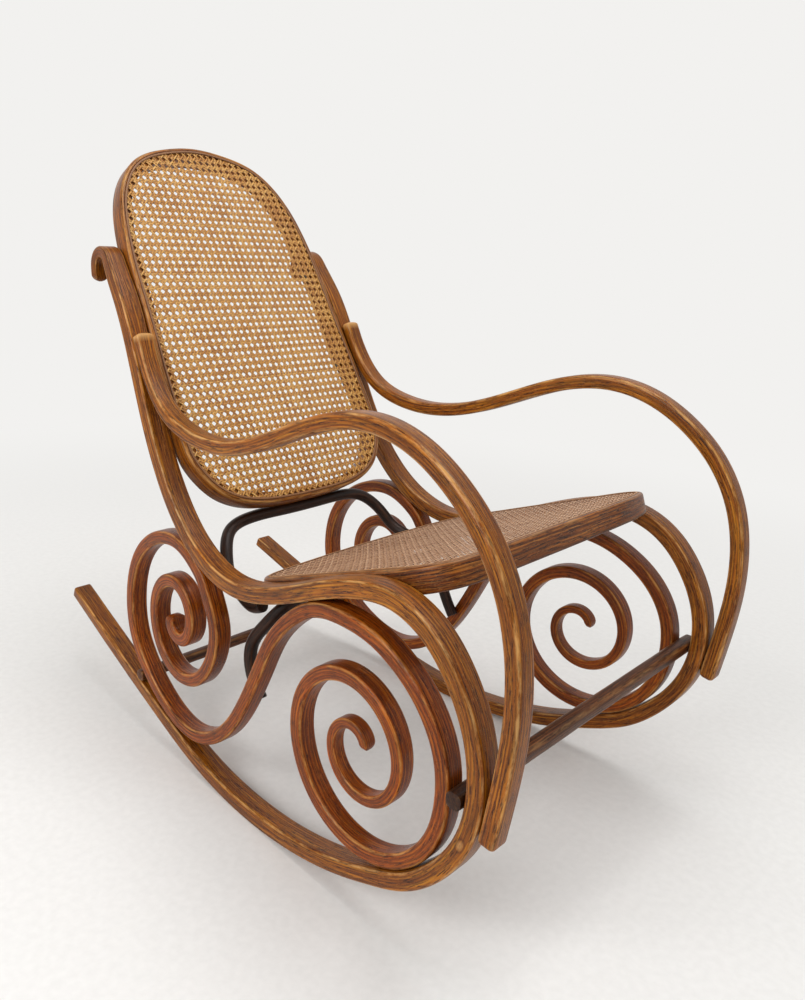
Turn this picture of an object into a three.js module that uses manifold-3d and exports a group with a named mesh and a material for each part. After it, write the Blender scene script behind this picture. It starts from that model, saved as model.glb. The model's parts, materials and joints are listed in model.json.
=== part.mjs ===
import * as THREE from "three";
import Module from "manifold-3d";
import { mergeGeometries, mergeVertices } from "three/addons/utils/BufferGeometryUtils.js";

// A bentwood rocking chair, in millimetres. X is forward, Y is to the sitter's left and Z is up.
// The origin is on the floor, under the middle of the chair's overall depth and width.
// The curves are drawn from a nearby place on the floor, and the whole is moved at the end.

// Overall sizes of the two bent side frames
const frameDepth = 1044;
const frameHeight = 806;
// The side curves below are drawn for this depth and height, and stretch with the two sizes above.
const drawnDepth = 1044;
const drawnHeight = 806;

// Half the spacing of the two sides' middle planes, at the corners of the side view.
// The sides lean out towards the front, as a seat that is wider in front makes them.
const halfSpan = { tailLow: 222, noseLow: 287, tailHigh: 204, noseHigh: 285 };
const spanCorners = { tail: -570, nose: 450, low: 0, high: 800 };

// Bent bars: thick is measured in the side view, wide is measured across the chair
const railThick = 25;
const railWide = 34;
const tailThick = 21;
const hookThick = 15;
const scrollThick = 22;
const scrollWide = 30;
const curlThick = 9;
const curlWide = 16;
const armThick = 22;
const armWide = 30;
const armTopThick = 15;
const armFootThick = 24;
const edgeRound = 6;
const railGap = 0.6;

// Lengths over which the bars change from one thickness to another
const hookTaper = 170;
const tailTaper = 420;
const curlTaper = 520;
const armTaper = { from: 60, top: 200, foot: 230 };
const tipLong = 5;
const tipShare = 0.8;

// Hook at the top of each post and the runner that touches the floor
const hook = { x: -451, z: 764, radius: 29.5, from: 190, to: 25 };
const hookEnd = [-479, 743];
const hookSteps = 6;
const runnerFoot = -11;
const runnerRadius = 650;
const runnerArc = { from: 25, to: -13, step: 6 };
const runnerLow = 12;
const flatDepth = 0.6;
const flatReach = 26;

// Scrolls: both spirals run from the free tip out to the loop
const rearSpiral = {
  x: -209.5, z: 249.5, from: -103, to: 373, step: 34, radius: 29, grow: 45, flare: 41, squash: 1.06,
};
const frontHeelReach = 330;
const heelSag = 0.4;
const frontSpiral = {
  x: 218, z: 234, from: 18, to: 732, step: 30, radius: 17, grow: 116, flare: 21, squash: 1,
};

// Round crosswise bars
const frontRodRadius = 12;
const frontRodProud = 3;
const rearRodRadius = 10;
const hoopRadius = 10;
const braceRadius = 10;
const rodGap = 0.8;
// The rear rod is looked for from the first place towards the tail until it fits under the loop.
const rearRodSearch = { from: -250, to: -420, step: 0.5 };
const aboveRunner = { slope: -0.3, high: 60 };

// Seat: a slanted ring with a cane sheet set in a groove behind a spline
const seatRise = 0.405;
const seatHeight = 385;
const seatDeep = 34;
const seatRingWide = 32;
const seatBack = -83;
const seatFront = 349;
const seatCornerRadius = 70;

// Back: a flat ring between the posts, reclined, with its cane in the same kind of groove
const backDeep = 34;
const backRingWide = 21;
const backTop = 318;
const backBottom = 331;
const faceOffset = 80;
const faceAheadOfUpperBolt = 18;
const faceAheadOfLowerBolt = 26;

// Cane and the spline that wedges it into its groove
const rimWide = 6.5;
const grooveWide = 4.5;
const grooveDeep = 7;
const caneThick = 2;
const caneSink = 2.6;
const fitGap = 0.3;
const panelGap = 0.6;
const strandWide = 9;
const gapWide = 34;
const caneRim = 2;
const panelRound = 4;
const splineProud = 0.8;

// Fasteners
const boltRadius = 4;
const boltHeadRadius = 9;
const boltHeadHigh = 5;
const boltBite = 20;
const boltStand = 1.6;
const boltSides = 10;
const screwRadius = 2.5;
const screwHeadRadius = 5;
const screwHeadHigh = 3;
const screwBite = 12;
const screwSides = 8;
const screwCover = 1;
const drillGap = 0.3;

// Facets
const turnStep = 10;
const curlTurnStep = 13;
const longestStep = 52;
const panelTurnStep = 12;
const panelLongestStep = 60;
const roundSides = 10;
const rodSides = 16;
const hoopSteps = 40;
const braceSteps = 38;

const wasm = await Module();
wasm.setup();

// Colours and finishes
const wood = {
  frame: { color: 0x7a4320, roughness: 0.42, metalness: 0 },
  arm: { color: 0x80461f, roughness: 0.4, metalness: 0 },
  seat: { color: 0x6f3c1e, roughness: 0.45, metalness: 0 },
  dark: { color: 0x3a2116, roughness: 0.5, metalness: 0 },
  cane: { color: 0xb58a5a, roughness: 0.65, metalness: 0 },
  backCane: { color: 0xc49a5c, roughness: 0.6, metalness: 0 },
  spline: { color: 0xb98b55, roughness: 0.55, metalness: 0 },
  steel: { color: 0x3d3833, roughness: 0.45, metalness: 0.8 },
};

const group = new THREE.Group();

function addMesh(name, geometry, look, parent = group) {
  const mesh = new THREE.Mesh(geometry, new THREE.MeshStandardMaterial(look));
  mesh.name = name;
  parent.add(mesh);
  return mesh;
}

// Slopes' rates of change for a cubic through values at the given distances, none at the two ends
function bends(at, values) {
  const count = at.length;
  const upper = new Array(count).fill(0);
  const right = new Array(count).fill(0);
  for (let i = 1; i < count - 1; i += 1) {
    const before = at[i] - at[i - 1];
    const after = at[i + 1] - at[i];
    const jump = (values[i + 1] - values[i]) / after - (values[i] - values[i - 1]) / before;
    const pivot = 2 * (before + after) - before * upper[i - 1];
    upper[i] = after / pivot;
    right[i] = (6 * jump - before * right[i - 1]) / pivot;
  }
  const result = new Array(count).fill(0);
  for (let i = count - 2; i > 0; i -= 1) {
    result[i] = right[i] - upper[i] * result[i + 1];
  }
  return result;
}

// A line through the points with its slope and its bend both running on without a break
class SmoothLine {
  constructor(points, closed = false) {
    const wrap = closed ? 4 : 0;
    const before = points.slice(points.length - wrap);
    const after = points.slice(0, wrap + (closed ? 1 : 0));
    this.points = closed ? [...before, ...points, ...after] : points;
    this.at = [0];
    for (let i = 1; i < this.points.length; i += 1) {
      this.at.push(this.at[i - 1] + this.points[i].distanceTo(this.points[i - 1]));
    }
    this.bendX = bends(this.at, this.points.map((point) => point.x));
    this.bendY = bends(this.at, this.points.map((point) => point.y));
    this.start = this.at[wrap];
    this.end = this.at[wrap + points.length - (closed ? 0 : 1)];
  }

  // The piece of the cubic that holds a distance, and how far into it the distance lies
  locate(distance) {
    let i = 1;
    while (i < this.at.length - 1 && this.at[i] < distance) {
      i += 1;
    }
    const span = this.at[i] - this.at[i - 1];
    return { i, span, far: (distance - this.at[i - 1]) / span };
  }

  point(distance) {
    const { i, span, far } = this.locate(distance);
    const near = 1 - far;
    const value = (a, b, bendA, bendB) =>
      near * a + far * b + ((near ** 3 - near) * bendA + (far ** 3 - far) * bendB) * span * span / 6;
    const [a, b] = [this.points[i - 1], this.points[i]];
    return new THREE.Vector2(
      value(a.x, b.x, this.bendX[i - 1], this.bendX[i]),
      value(a.y, b.y, this.bendY[i - 1], this.bendY[i]),
    );
  }

  tangent(distance) {
    const step = 0.01;
    return this.point(distance + step).sub(this.point(distance - step)).normalize();
  }

  // The distance along the line that is nearest to a point
  nearest(target) {
    const gapTo = (distance) => this.point(distance).distanceTo(target);
    let best = this.start;
    for (let distance = this.start; distance <= this.end; distance += 4) {
      best = gapTo(distance) < gapTo(best) ? distance : best;
    }
    for (let step = 2; step > 0.001; step /= 2) {
      const closer = [best - step, best + step].find((distance) => gapTo(distance) < gapTo(best));
      best = closer ?? best;
    }
    return best;
  }

  // Distances where the line is cut into straight facets, close together where it bends
  stations(turn, longest, extra = []) {
    const result = [this.start];
    let turned = 0;
    let last = this.tangent(this.start);
    for (let distance = this.start + 1; distance < this.end; distance += 1) {
      const now = this.tangent(distance);
      turned += Math.abs(last.angleTo(now)) * 180 / Math.PI;
      last = now;
      const far = distance - result[result.length - 1];
      if (turned >= turn || far >= longest) {
        result.push(distance);
        turned = 0;
      }
    }
    if (this.end - result[result.length - 1] < longest / 8) {
      result.pop();
    }
    const kept = result.filter((distance) => extra.every((other) => Math.abs(other - distance) > 2));
    return [...kept, ...extra, this.end].sort((a, b) => a - b);
  }
}

// Points of a spiral whose radius grows faster as it opens, from its tip outwards
function spiralPoints(spiral) {
  const points = [];
  const count = Math.round((spiral.to - spiral.from) / spiral.step);
  for (let i = 0; i <= count; i += 1) {
    const share = i / count;
    const angle = THREE.MathUtils.degToRad(THREE.MathUtils.lerp(spiral.from, spiral.to, share));
    const radius = spiral.radius + spiral.grow * share + spiral.flare * share * share;
    const across = radius * Math.cos(angle) / spiral.squash;
    points.push([spiral.x + across, spiral.z + radius * Math.sin(angle) * spiral.squash]);
  }
  return points;
}

function arcPoints(arc, count) {
  const points = [];
  for (let i = 0; i <= count; i += 1) {
    const angle = THREE.MathUtils.degToRad(THREE.MathUtils.lerp(arc.from, arc.to, i / count));
    points.push([arc.x + arc.radius * Math.cos(angle), arc.z + arc.radius * Math.sin(angle)]);
  }
  return points;
}

// Drawn side-view points are stretched to the frame's size, then lifted so the runner meets the floor.
const stretchX = frameDepth / drawnDepth;
const stretchZ = frameHeight / drawnHeight;
let lift = 0;

function place(x, z) {
  return new THREE.Vector2(x * stretchX, z * stretchZ + lift);
}

function placeAll(points) {
  return points.map(([x, z]) => place(x, z));
}

// Half the spacing of the sides' middle planes at a place in the side view
function spanAt(point) {
  const { tail, nose, low, high } = spanCorners;
  const forward = (point.x / stretchX - tail) / (nose - tail);
  const up = ((point.y - lift) / stretchZ - low) / (high - low);
  const atLow = THREE.MathUtils.lerp(halfSpan.tailLow, halfSpan.noseLow, forward);
  const atHigh = THREE.MathUtils.lerp(halfSpan.tailHigh, halfSpan.noseHigh, forward);
  return THREE.MathUtils.lerp(atLow, atHigh, up);
}

// The long bar of a side: hook, post, seat rail, front bend and runner
function railPoints() {
  const runner = [];
  for (let angle = runnerArc.from; angle >= runnerArc.to; angle -= runnerArc.step) {
    const turn = THREE.MathUtils.degToRad(angle);
    const forward = runnerRadius * Math.sin(turn);
    const up = runnerRadius * (1 - Math.cos(turn));
    runner.push([runnerFoot + forward, runnerLow + up]);
  }
  return [
    hookEnd,
    ...arcPoints(hook, hookSteps),
    [-387, 725],
    [-326, 607],
    [-264, 489],
    [-223, 436],
    [-173, 393],
    [-112, 365],
    [-46, 359],
    [18, 374],
    [80, 399],
    [140, 427],
    [202, 451],
    [268, 462],
    [331, 443],
    [381, 396],
    [412, 337],
    [421, 272],
    [407, 207],
    [373, 151],
    [324, 104],
    ...runner,
    [-251, 56],
    [-378, 98],
    [-503, 142],
    [-570, 166],
  ];
}

// How thick the long bar is at a distance along it: it thins to the hook and to the tail.
function railThickAt(line, distance) {
  const fromHook = THREE.MathUtils.smoothstep(distance - line.start, 0, hookTaper);
  const toTail = THREE.MathUtils.smoothstep(line.end - distance, 0, tailTaper);
  const upper = THREE.MathUtils.lerp(hookThick, railThick, fromHook);
  return THREE.MathUtils.lerp(tailThick, upper, toTail);
}

// The line is drawn once to find its lowest point, and again with the lift that puts it on the floor.
function makeRailLine() {
  const draft = new SmoothLine(placeAll(railPoints()));
  let lowest = Infinity;
  for (let distance = draft.start; distance < draft.end; distance += 0.5) {
    lowest = Math.min(lowest, draft.point(distance).y);
  }
  lift = railThick / 2 - flatDepth - lowest;
  return new SmoothLine(placeAll(railPoints()));
}

const railLine = makeRailLine();

// The place beside the long bar, on the same side as the point, with a bar of this thickness touching it
function beside(x, z, thick, spacer = 0) {
  const target = place(x, z);
  const at = railLine.nearest(target);
  const centre = railLine.point(at);
  const away = railThickAt(railLine, at) / 2 + thick / 2 + railGap + spacer;
  return centre.clone().add(target.sub(centre).setLength(away));
}

// Places where a scroll rests on the long bar
const touch = {
  post: [-165, 360],
  foot: [-228, 80],
  rail: [128, 388],
  front: [372, 268],
  heel: [262, 105],
};

const frontRodSpace = 2 * frontRodRadius + 2 * rodGap - railGap;

// The front spiral opens out into the place that leaves room for the rod, with its centre raised.
function frontSpiralPoints(raise) {
  const outer = beside(...touch.front, scrollThick, frontRodSpace);
  const drawn = placeAll(spiralPoints(frontSpiral));
  const centre = place(frontSpiral.x, frontSpiral.z);
  const last = drawn[drawn.length - 1];
  const raised = centre.clone();
  raised.y += raise;
  const reach = outer.distanceTo(raised) / last.distanceTo(centre);
  return drawn.map((point, i) => {
    const grown = THREE.MathUtils.lerp(1, reach, i / (drawn.length - 1));
    return raised.clone().add(point.sub(centre).multiplyScalar(grown));
  });
}

// The loop's clear distance above the long bar at the heel, where the two nearly meet
function heelGap(points) {
  const loop = new SmoothLine(points);
  let least = Infinity;
  for (let distance = loop.end - frontHeelReach; distance < loop.end - frontHeelReach / 4; distance += 4) {
    const point = loop.point(distance);
    const at = railLine.nearest(point);
    const solid = railThickAt(railLine, at) / 2 + scrollThick / 2;
    least = Math.min(least, railLine.point(at).distanceTo(point) - solid);
  }
  return least;
}

// Raises or lowers the front spiral until its loop rests on the long bar at the heel
function seatedSpiralPoints() {
  let raise = 0;
  for (let round = 0; round < 6; round += 1) {
    raise += railGap + heelSag - heelGap(frontSpiralPoints(raise));
  }
  return frontSpiralPoints(raise);
}

function makeScrollLine() {
  const front = seatedSpiralPoints().reverse();
  return new SmoothLine([
    ...placeAll(spiralPoints(rearSpiral)),
    place(-124, 318),
    place(-139, 340),
    beside(...touch.post, scrollThick),
    place(-203, 376),
    place(-256, 372),
    place(-302, 347),
    place(-338, 305),
    place(-357, 237),
    place(-345, 168),
    place(-300, 115),
    beside(...touch.foot, scrollThick),
    place(-163, 65),
    place(-107, 85),
    place(-63, 123),
    place(-23, 184),
    place(12, 258),
    place(42, 318),
    place(80, 362),
    beside(...touch.rail, scrollThick),
    place(185, 405),
    place(235, 402),
    place(290, 382),
    place(335, 348),
    place(364, 302),
    ...front,
  ]);
}

const scrollLine = makeScrollLine();

// The scroll is thick at its rear tip and thins over its last turns to a flat ribbon at the front tip.
function scrollSize(distance) {
  const fromTip = distance - scrollLine.start;
  const toCurl = THREE.MathUtils.smoothstep(scrollLine.end - distance, 0, curlTaper);
  const full = fromTip < tipLong ? tipShare : 1;
  return {
    thick: full * THREE.MathUtils.lerp(curlThick, scrollThick, toCurl),
    wide: full * THREE.MathUtils.lerp(curlWide, scrollWide, toCurl),
  };
}

// The arm starts flat on the post, sweeps down and forward, and ends on the front bend.
function makeArmLine() {
  return new SmoothLine([
    beside(-343, 686, armTopThick),
    beside(-329, 660, armTopThick),
    place(-302, 620),
    place(-259, 577),
    place(-192, 554),
    place(-122, 552),
    place(-53, 566),
    place(13, 591),
    place(77, 620),
    place(143, 645),
    place(213, 656),
    place(282, 645),
    place(345, 613),
    place(397, 566),
    place(433, 506),
    place(451, 438),
    place(455, 367),
    beside(450, 296, armFootThick, 4),
    beside(445, 258, armFootThick),
    beside(438, 226, armFootThick, 1.6),
  ]);
}

const armLine = makeArmLine();

function armThickAt(distance) {
  const fromTop = THREE.MathUtils.smoothstep(distance - armLine.start, armTaper.from, armTaper.top);
  const toFoot = THREE.MathUtils.smoothstep(armLine.end - distance, armTaper.from, armTaper.foot);
  const upper = THREE.MathUtils.lerp(armTopThick, armThick, fromTop);
  return THREE.MathUtils.lerp(armFootThick, upper, toFoot);
}

// Corners of a bar's section with its edges taken off
function barSection(thick, wide) {
  const cut = Math.min(edgeRound, thick * 0.3);
  const [t, w] = [thick / 2, wide / 2];
  return [
    [t, w - cut], [t - cut, w], [-t + cut, w], [-t, w - cut],
    [-t, -w + cut], [-t + cut, -w], [t - cut, -w], [t, -w + cut],
  ];
}

function signedVolume(geometry) {
  const position = geometry.getAttribute("position");
  const index = geometry.getIndex();
  const [a, b, c] = [new THREE.Vector3(), new THREE.Vector3(), new THREE.Vector3()];
  let volume = 0;
  for (let i = 0; i < index.count; i += 3) {
    a.fromBufferAttribute(position, index.getX(i));
    b.fromBufferAttribute(position, index.getX(i + 1));
    c.fromBufferAttribute(position, index.getX(i + 2));
    volume += a.dot(b.cross(c)) / 6;
  }
  return volume;
}

// A closed body through rings of points: capped at both ends, or joined end to end
function loft(rings, closed = false) {
  const sides = rings[0].length;
  const corners = rings.flat().flatMap((point) => [point.x, point.y, point.z]);
  const faces = [];
  const joined = closed ? rings.length : rings.length - 1;
  for (let i = 0; i < joined; i += 1) {
    const here = i * sides;
    const next = ((i + 1) % rings.length) * sides;
    for (let j = 0; j < sides; j += 1) {
      const k = (j + 1) % sides;
      faces.push(here + j, here + k, next + k, here + j, next + k, next + j);
    }
  }
  if (!closed) {
    const last = (rings.length - 1) * sides;
    for (let j = 1; j < sides - 1; j += 1) {
      faces.push(0, j + 1, j, last, last + j, last + j + 1);
    }
  }
  const geometry = new THREE.BufferGeometry();
  geometry.setAttribute("position", new THREE.Float32BufferAttribute(corners, 3));
  geometry.setIndex(faces);
  if (signedVolume(geometry) < 0) {
    for (let i = 0; i < faces.length; i += 3) {
      [faces[i + 1], faces[i + 2]] = [faces[i + 2], faces[i + 1]];
    }
    geometry.setIndex(faces);
  }
  return geometry;
}

// A bar bent along a side-view line, standing in the leaning plane of one side (side is 1 or -1)
function bentBar(line, distances, sizeAt, side) {
  return loft(distances.map((distance) => {
    const centre = line.point(distance);
    const along = line.tangent(distance);
    const { thick, wide } = sizeAt(distance);
    return barSection(thick, wide).map(([out, across]) => {
      const x = centre.x - along.y * out;
      const z = centre.y + along.x * out;
      return new THREE.Vector3(x, side * (spanAt(centre) + across), Math.max(z, 0));
    });
  }));
}

// A round bar along a curve in space
function roundBar(curve, radius, steps, sides) {
  const frames = curve.computeFrenetFrames(steps, false);
  const rings = [];
  for (let i = 0; i <= steps; i += 1) {
    const centre = curve.getPointAt(i / steps);
    const ring = [];
    for (let j = 0; j < sides; j += 1) {
      const angle = 2 * Math.PI * j / sides;
      const out = frames.normals[i].clone().multiplyScalar(radius * Math.cos(angle));
      ring.push(centre.clone().add(out.addScaledVector(frames.binormals[i], radius * Math.sin(angle))));
    }
    rings.push(ring);
  }
  return loft(rings);
}

function toSolid(geometry) {
  const plain = geometry.clone();
  plain.deleteAttribute("normal");
  plain.deleteAttribute("uv");
  const merged = mergeVertices(plain, 1e-4);
  return new wasm.Manifold(new wasm.Mesh({
    numProp: 3,
    vertProperties: new Float32Array(merged.getAttribute("position").array),
    triVerts: new Uint32Array(merged.getIndex().array),
  }));
}

function toGeometry(solid) {
  const mesh = solid.getMesh();
  const geometry = new THREE.BufferGeometry();
  geometry.setAttribute("position", new THREE.BufferAttribute(mesh.vertProperties, 3));
  geometry.setIndex(new THREE.BufferAttribute(mesh.triVerts, 1));
  return geometry;
}

// Fasteners are turned about their own axis, with the head's underside at the start point.
function fastenerGeometry(radius, headRadius, headHigh, length, sides) {
  const profile = [
    [0, -length], [radius, -length], [radius, 0], [headRadius, 0],
    [headRadius, headHigh * 0.45], [headRadius * 0.62, headHigh], [0, headHigh],
  ];
  return new THREE.LatheGeometry(profile.map(([x, y]) => new THREE.Vector2(x, y)), sides);
}

// Turns something drawn along its own Y so that its head looks back from where it points
function aim(geometry, start, direction) {
  const turn = new THREE.Quaternion();
  turn.setFromUnitVectors(new THREE.Vector3(0, 1, 0), direction.clone().negate().normalize());
  geometry.applyQuaternion(turn);
  geometry.translate(start.x, start.y, start.z);
  return geometry;
}

// The round cutter for a fastener's hole, with a wider stretch for a sunk head
function cutterGeometry(radius, headRadius, length, sunk, sides) {
  const shank = radius + drillGap;
  const mouth = headRadius + drillGap;
  const out = 6;
  const wideEnd = sunk > 0 ? [[shank, -fitGap], [mouth, -fitGap], [mouth, out]] : [[shank, out]];
  const profile = [[0, -length - drillGap], [shank, -length - drillGap], ...wideEnd, [0, out]];
  return new THREE.LatheGeometry(profile.map(([x, y]) => new THREE.Vector2(x, y)), sides);
}

const fasteners = [];
const drilled = {};

// Notes a fastener from a start point in a direction, and the pieces whose solids it is drilled through
function fasten(name, kind, start, direction, length, pieces, sunk = 0) {
  const size = kind === "bolt"
    ? { radius: boltRadius, head: boltHeadRadius, high: boltHeadHigh, sides: boltSides }
    : { radius: screwRadius, head: screwHeadRadius, high: screwHeadHigh, sides: screwSides };
  const unit = direction.clone().normalize();
  const seat = start.clone().addScaledVector(unit, sunk - fitGap);
  const body = aim(fastenerGeometry(size.radius, size.head, size.high, length, size.sides), seat, unit);
  const cutter = aim(cutterGeometry(size.radius, size.head, length, sunk, size.sides), seat, unit);
  fasteners.push({ name, body });
  pieces.forEach((piece) => {
    drilled[piece] = [...(drilled[piece] ?? []), cutter];
  });
}

// Takes the noted holes out of a piece, whose own frame may be turned against the chair's
function drill(name, geometry, parent = group) {
  const cutters = drilled[name] ?? [];
  if (cutters.length === 0) {
    return geometry;
  }
  parent.updateMatrixWorld(true);
  const inward = parent.matrixWorld.clone().invert();
  const solid = cutters.reduce(
    (rest, cutter) => rest.subtract(toSolid(cutter.clone().applyMatrix4(inward))),
    toSolid(geometry),
  );
  return toGeometry(solid);
}

// Places on the long bar where the fasteners go
const boltAt = {
  backUpper: railLine.nearest(place(-408, 757)),
  backLower: railLine.nearest(place(-323, 601)),
  seatRear: railLine.nearest(place(12, 372)),
  seatFront: railLine.nearest(place(212, 454)),
};

// The back's front face stands ahead of the two post bolts, and its own X runs down the back.
const upperBolt = railLine.point(boltAt.backUpper);
const lowerBolt = railLine.point(boltAt.backLower);

function makeBackFrame() {
  const down = lowerBolt.clone().sub(upperBolt);
  const between = down.length();
  const swing = Math.asin((faceAheadOfLowerBolt - faceAheadOfUpperBolt) / between);
  const turn = Math.atan2(-down.y, down.x) - swing;
  const axis = new THREE.Vector2(Math.cos(turn), -Math.sin(turn));
  const ahead = new THREE.Vector2(Math.sin(turn), Math.cos(turn));
  const face = upperBolt.clone().addScaledVector(ahead, faceAheadOfUpperBolt);
  const holder = new THREE.Group();
  holder.rotation.y = turn;
  holder.position.set(face.x, 0, face.y);
  return { holder, axis, ahead, face, between: between * Math.cos(swing) };
}

const back = makeBackFrame();
group.add(back.holder);

// Half the clear width between the sides' bars at a place in the side view
function clearHalf(point, wide) {
  return spanAt(point) - wide / 2 - panelGap;
}

// The back's outline: each point is a distance down the back from the upper bolts, and a half-width
function backOutline() {
  const edge = (down) => {
    const middle = back.face.clone().addScaledVector(back.axis, down);
    return clearHalf(middle.addScaledVector(back.ahead, -backDeep / 2), railWide);
  };
  const half = [
    [-backTop + faceOffset, 0], [-231, 58], [-205, 126], [-165, 162], [-127, 179.5], [-61, 194], [0, edge(0)],
    [74, edge(74) - 1], [back.between, edge(back.between)], [224, edge(224) - 0.6], [274, edge(274) - 1.5],
    [312, 211], [344, 198], [374, 175], [396, 138], [408, 82], [backBottom + faceOffset, 0],
  ];
  const mirrored = half.slice(1, -1).reverse().map(([down, wide]) => [down, -wide]);
  return new SmoothLine([...half, ...mirrored].map(([down, wide]) => new THREE.Vector2(down, wide)), true);
}

// The seat's plane rises to the front; its own X runs forward up the slope.
const seatTilt = Math.atan(seatRise * stretchZ / stretchX);

function makeSeatFrame() {
  const holder = new THREE.Group();
  const start = place(0, seatHeight);
  holder.rotation.y = -seatTilt;
  holder.position.set(start.x, 0, start.y);
  return holder;
}

const seat = makeSeatFrame();
group.add(seat);

// The seat's outline follows the side bars' inner faces, with rounded front corners.
function seatOutline() {
  const scale = stretchX / Math.cos(seatTilt) * Math.cos(Math.atan(seatRise));
  const edge = (along) => {
    const x = along * scale * Math.cos(seatTilt);
    const z = seat.position.z + along * scale * Math.sin(seatTilt);
    return clearHalf(new THREE.Vector2(seat.position.x + x, z), railWide);
  };
  const front = seatFront * scale;
  const rear = seatBack * scale;
  const corner = seatCornerRadius;
  const frontHalf = edge(seatFront - seatCornerRadius);
  const half = [
    [rear, 0],
    [rear + 4, 90],
    [rear + 15, 165],
    [rear + 33, edge(-50) - 22],
    [rear + 62, edge(-21) - 4],
    ...[40, 90, 140, 190, 240].map((along) => [along * scale, edge(along)]),
    [front - corner, frontHalf],
    [front - corner * 0.29, frontHalf - corner * 0.29],
    [front - 1, frontHalf - corner - 6],
    [front + 3, 90],
    [front + 4, 0],
  ];
  const mirrored = half.slice(1, -1).reverse().map(([along, wide]) => [along, -wide]);
  return new SmoothLine([...half, ...mirrored].map(([along, wide]) => new THREE.Vector2(along, wide)), true);
}

// The outline's points moved inwards by a distance, at the same stations for every piece that follows it
function inset(line, distances, inward) {
  const open = distances.slice(0, -1);
  const area = THREE.ShapeUtils.area(open.map((distance) => line.point(distance)));
  return open.map((distance) => {
    const along = line.tangent(distance).multiplyScalar(Math.sign(area) * inward);
    return line.point(distance).add(new THREE.Vector2(-along.y, along.x));
  });
}

// Stations for an outline that starts on the chair's middle plane, alike on its two halves
function mirroredStations(line, turn, longest) {
  const middle = (line.start + line.end) / 2;
  const half = line.stations(turn, longest, [middle]).filter((distance) => distance <= middle);
  const mirrored = half.slice(0, -1).reverse().map((distance) => line.start + line.end - distance);
  return [...half, ...mirrored];
}

// A closed ring whose section is given as distances in from the outline and heights above its plane
function ringGeometry(line, distances, section) {
  const loops = section.map(([inward, high]) => ({ high, points: inset(line, distances, inward) }));
  const rings = loops[0].points.map((point, i) =>
    loops.map((loop) => new THREE.Vector3(loop.points[i].x, loop.points[i].y, loop.high)));
  return loft(rings, true);
}

// The wooden ring: outer edge rounded over, groove for the spline, and a ledge that carries the cane
function ringSection(wide, deep, round) {
  const groove = rimWide + grooveWide;
  return [
    [0, -round], [round * 0.7, 0], [rimWide, 0], [rimWide, -grooveDeep], [groove, -grooveDeep],
    [groove, -caneSink - fitGap], [wide, -caneSink - fitGap], [wide, -deep + round * 0.6],
    [wide - round * 0.6, -deep], [round, -deep], [0, -deep + round],
  ];
}

// The spline fills its groove and stands just above the wood.
function splineSection() {
  const [left, right] = [rimWide + fitGap, rimWide + grooveWide - fitGap];
  const floor = -grooveDeep + fitGap;
  return [[left, splineProud], [right, splineProud], [right, floor], [left, floor]];
}

// The cane sheet inside the spline, with square gaps wherever a whole gap fits in the opening
function netGeometry(line, distances, ringWide) {
  const sheet = new THREE.Shape(inset(line, distances, rimWide + grooveWide + fitGap));
  const opening = inset(line, distances, ringWide + caneRim);
  const spanX = opening.map((point) => point.x);
  const spanY = opening.map((point) => point.y);
  const pitch = gapWide + strandWide;
  const inside = (x, y) => {
    let odd = false;
    for (let i = 0, j = opening.length - 1; i < opening.length; j = i, i += 1) {
      const [a, b] = [opening[i], opening[j]];
      const crosses = (a.y > y) !== (b.y > y) && x < (b.x - a.x) * (y - a.y) / (b.y - a.y) + a.x;
      odd = crosses ? !odd : odd;
    }
    return odd;
  };
  const middle = (Math.max(...spanX) + Math.min(...spanX)) / 2;
  const across = Math.ceil(Math.max(...spanY) / pitch);
  const along = Math.ceil((Math.max(...spanX) - middle) / pitch);
  const reach = gapWide / 2;
  const gaps = [];
  for (let i = -along; i <= along; i += 1) {
    for (let j = -across; j <= across; j += 1) {
      const [x, y] = [middle + i * pitch, j * pitch];
      const [left, right, low, high] = [x - reach, x + reach, y - reach, y + reach];
      const corners = [[left, low], [left, high], [right, high], [right, low]];
      if (corners.every(([cx, cy]) => inside(cx, cy))) {
        const gap = new THREE.BoxGeometry(gapWide, gapWide, 3 * caneThick);
        gaps.push(gap.translate(x, y, caneThick / 2));
      }
    }
  }
  const geometry = new THREE.ExtrudeGeometry(sheet, { depth: caneThick, bevelEnabled: false });
  const net = toGeometry(toSolid(geometry).subtract(toSolid(mergeGeometries(gaps))));
  net.translate(0, 0, -caneSink);
  return net;
}

// The point on a bar's middle line, and the way that points away from its face on one side
function onBar(line, distance, side) {
  const centre = line.point(distance);
  return new THREE.Vector3(centre.x, side * spanAt(centre), centre.y);
}

const sides = [["right", -1], ["left", 1]];

// Bolts from the inner faces of the back and the seat out into the posts and rails
sides.forEach(([word, side]) => {
  Object.entries(boltAt).forEach(([where, distance]) => {
    const panel = where.startsWith("back") ? "back" : "seat";
    const ringWide = panel === "back" ? backRingWide : seatRingWide;
    const spot = where.replace(panel, "").toLowerCase();
    const start = onBar(railLine, distance, side);
    start.y -= side * (railWide / 2 + panelGap + ringWide + 2 * fitGap + boltStand);
    const outward = new THREE.Vector3(0, side, 0);
    const length = ringWide + boltStand + boltBite;
    const name = `${panel}_${spot}_bolt_${word}`;
    fasten(name, "bolt", start, outward, length, [`side_frame_${word}`, `${panel}_frame`]);
  });
});

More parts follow.
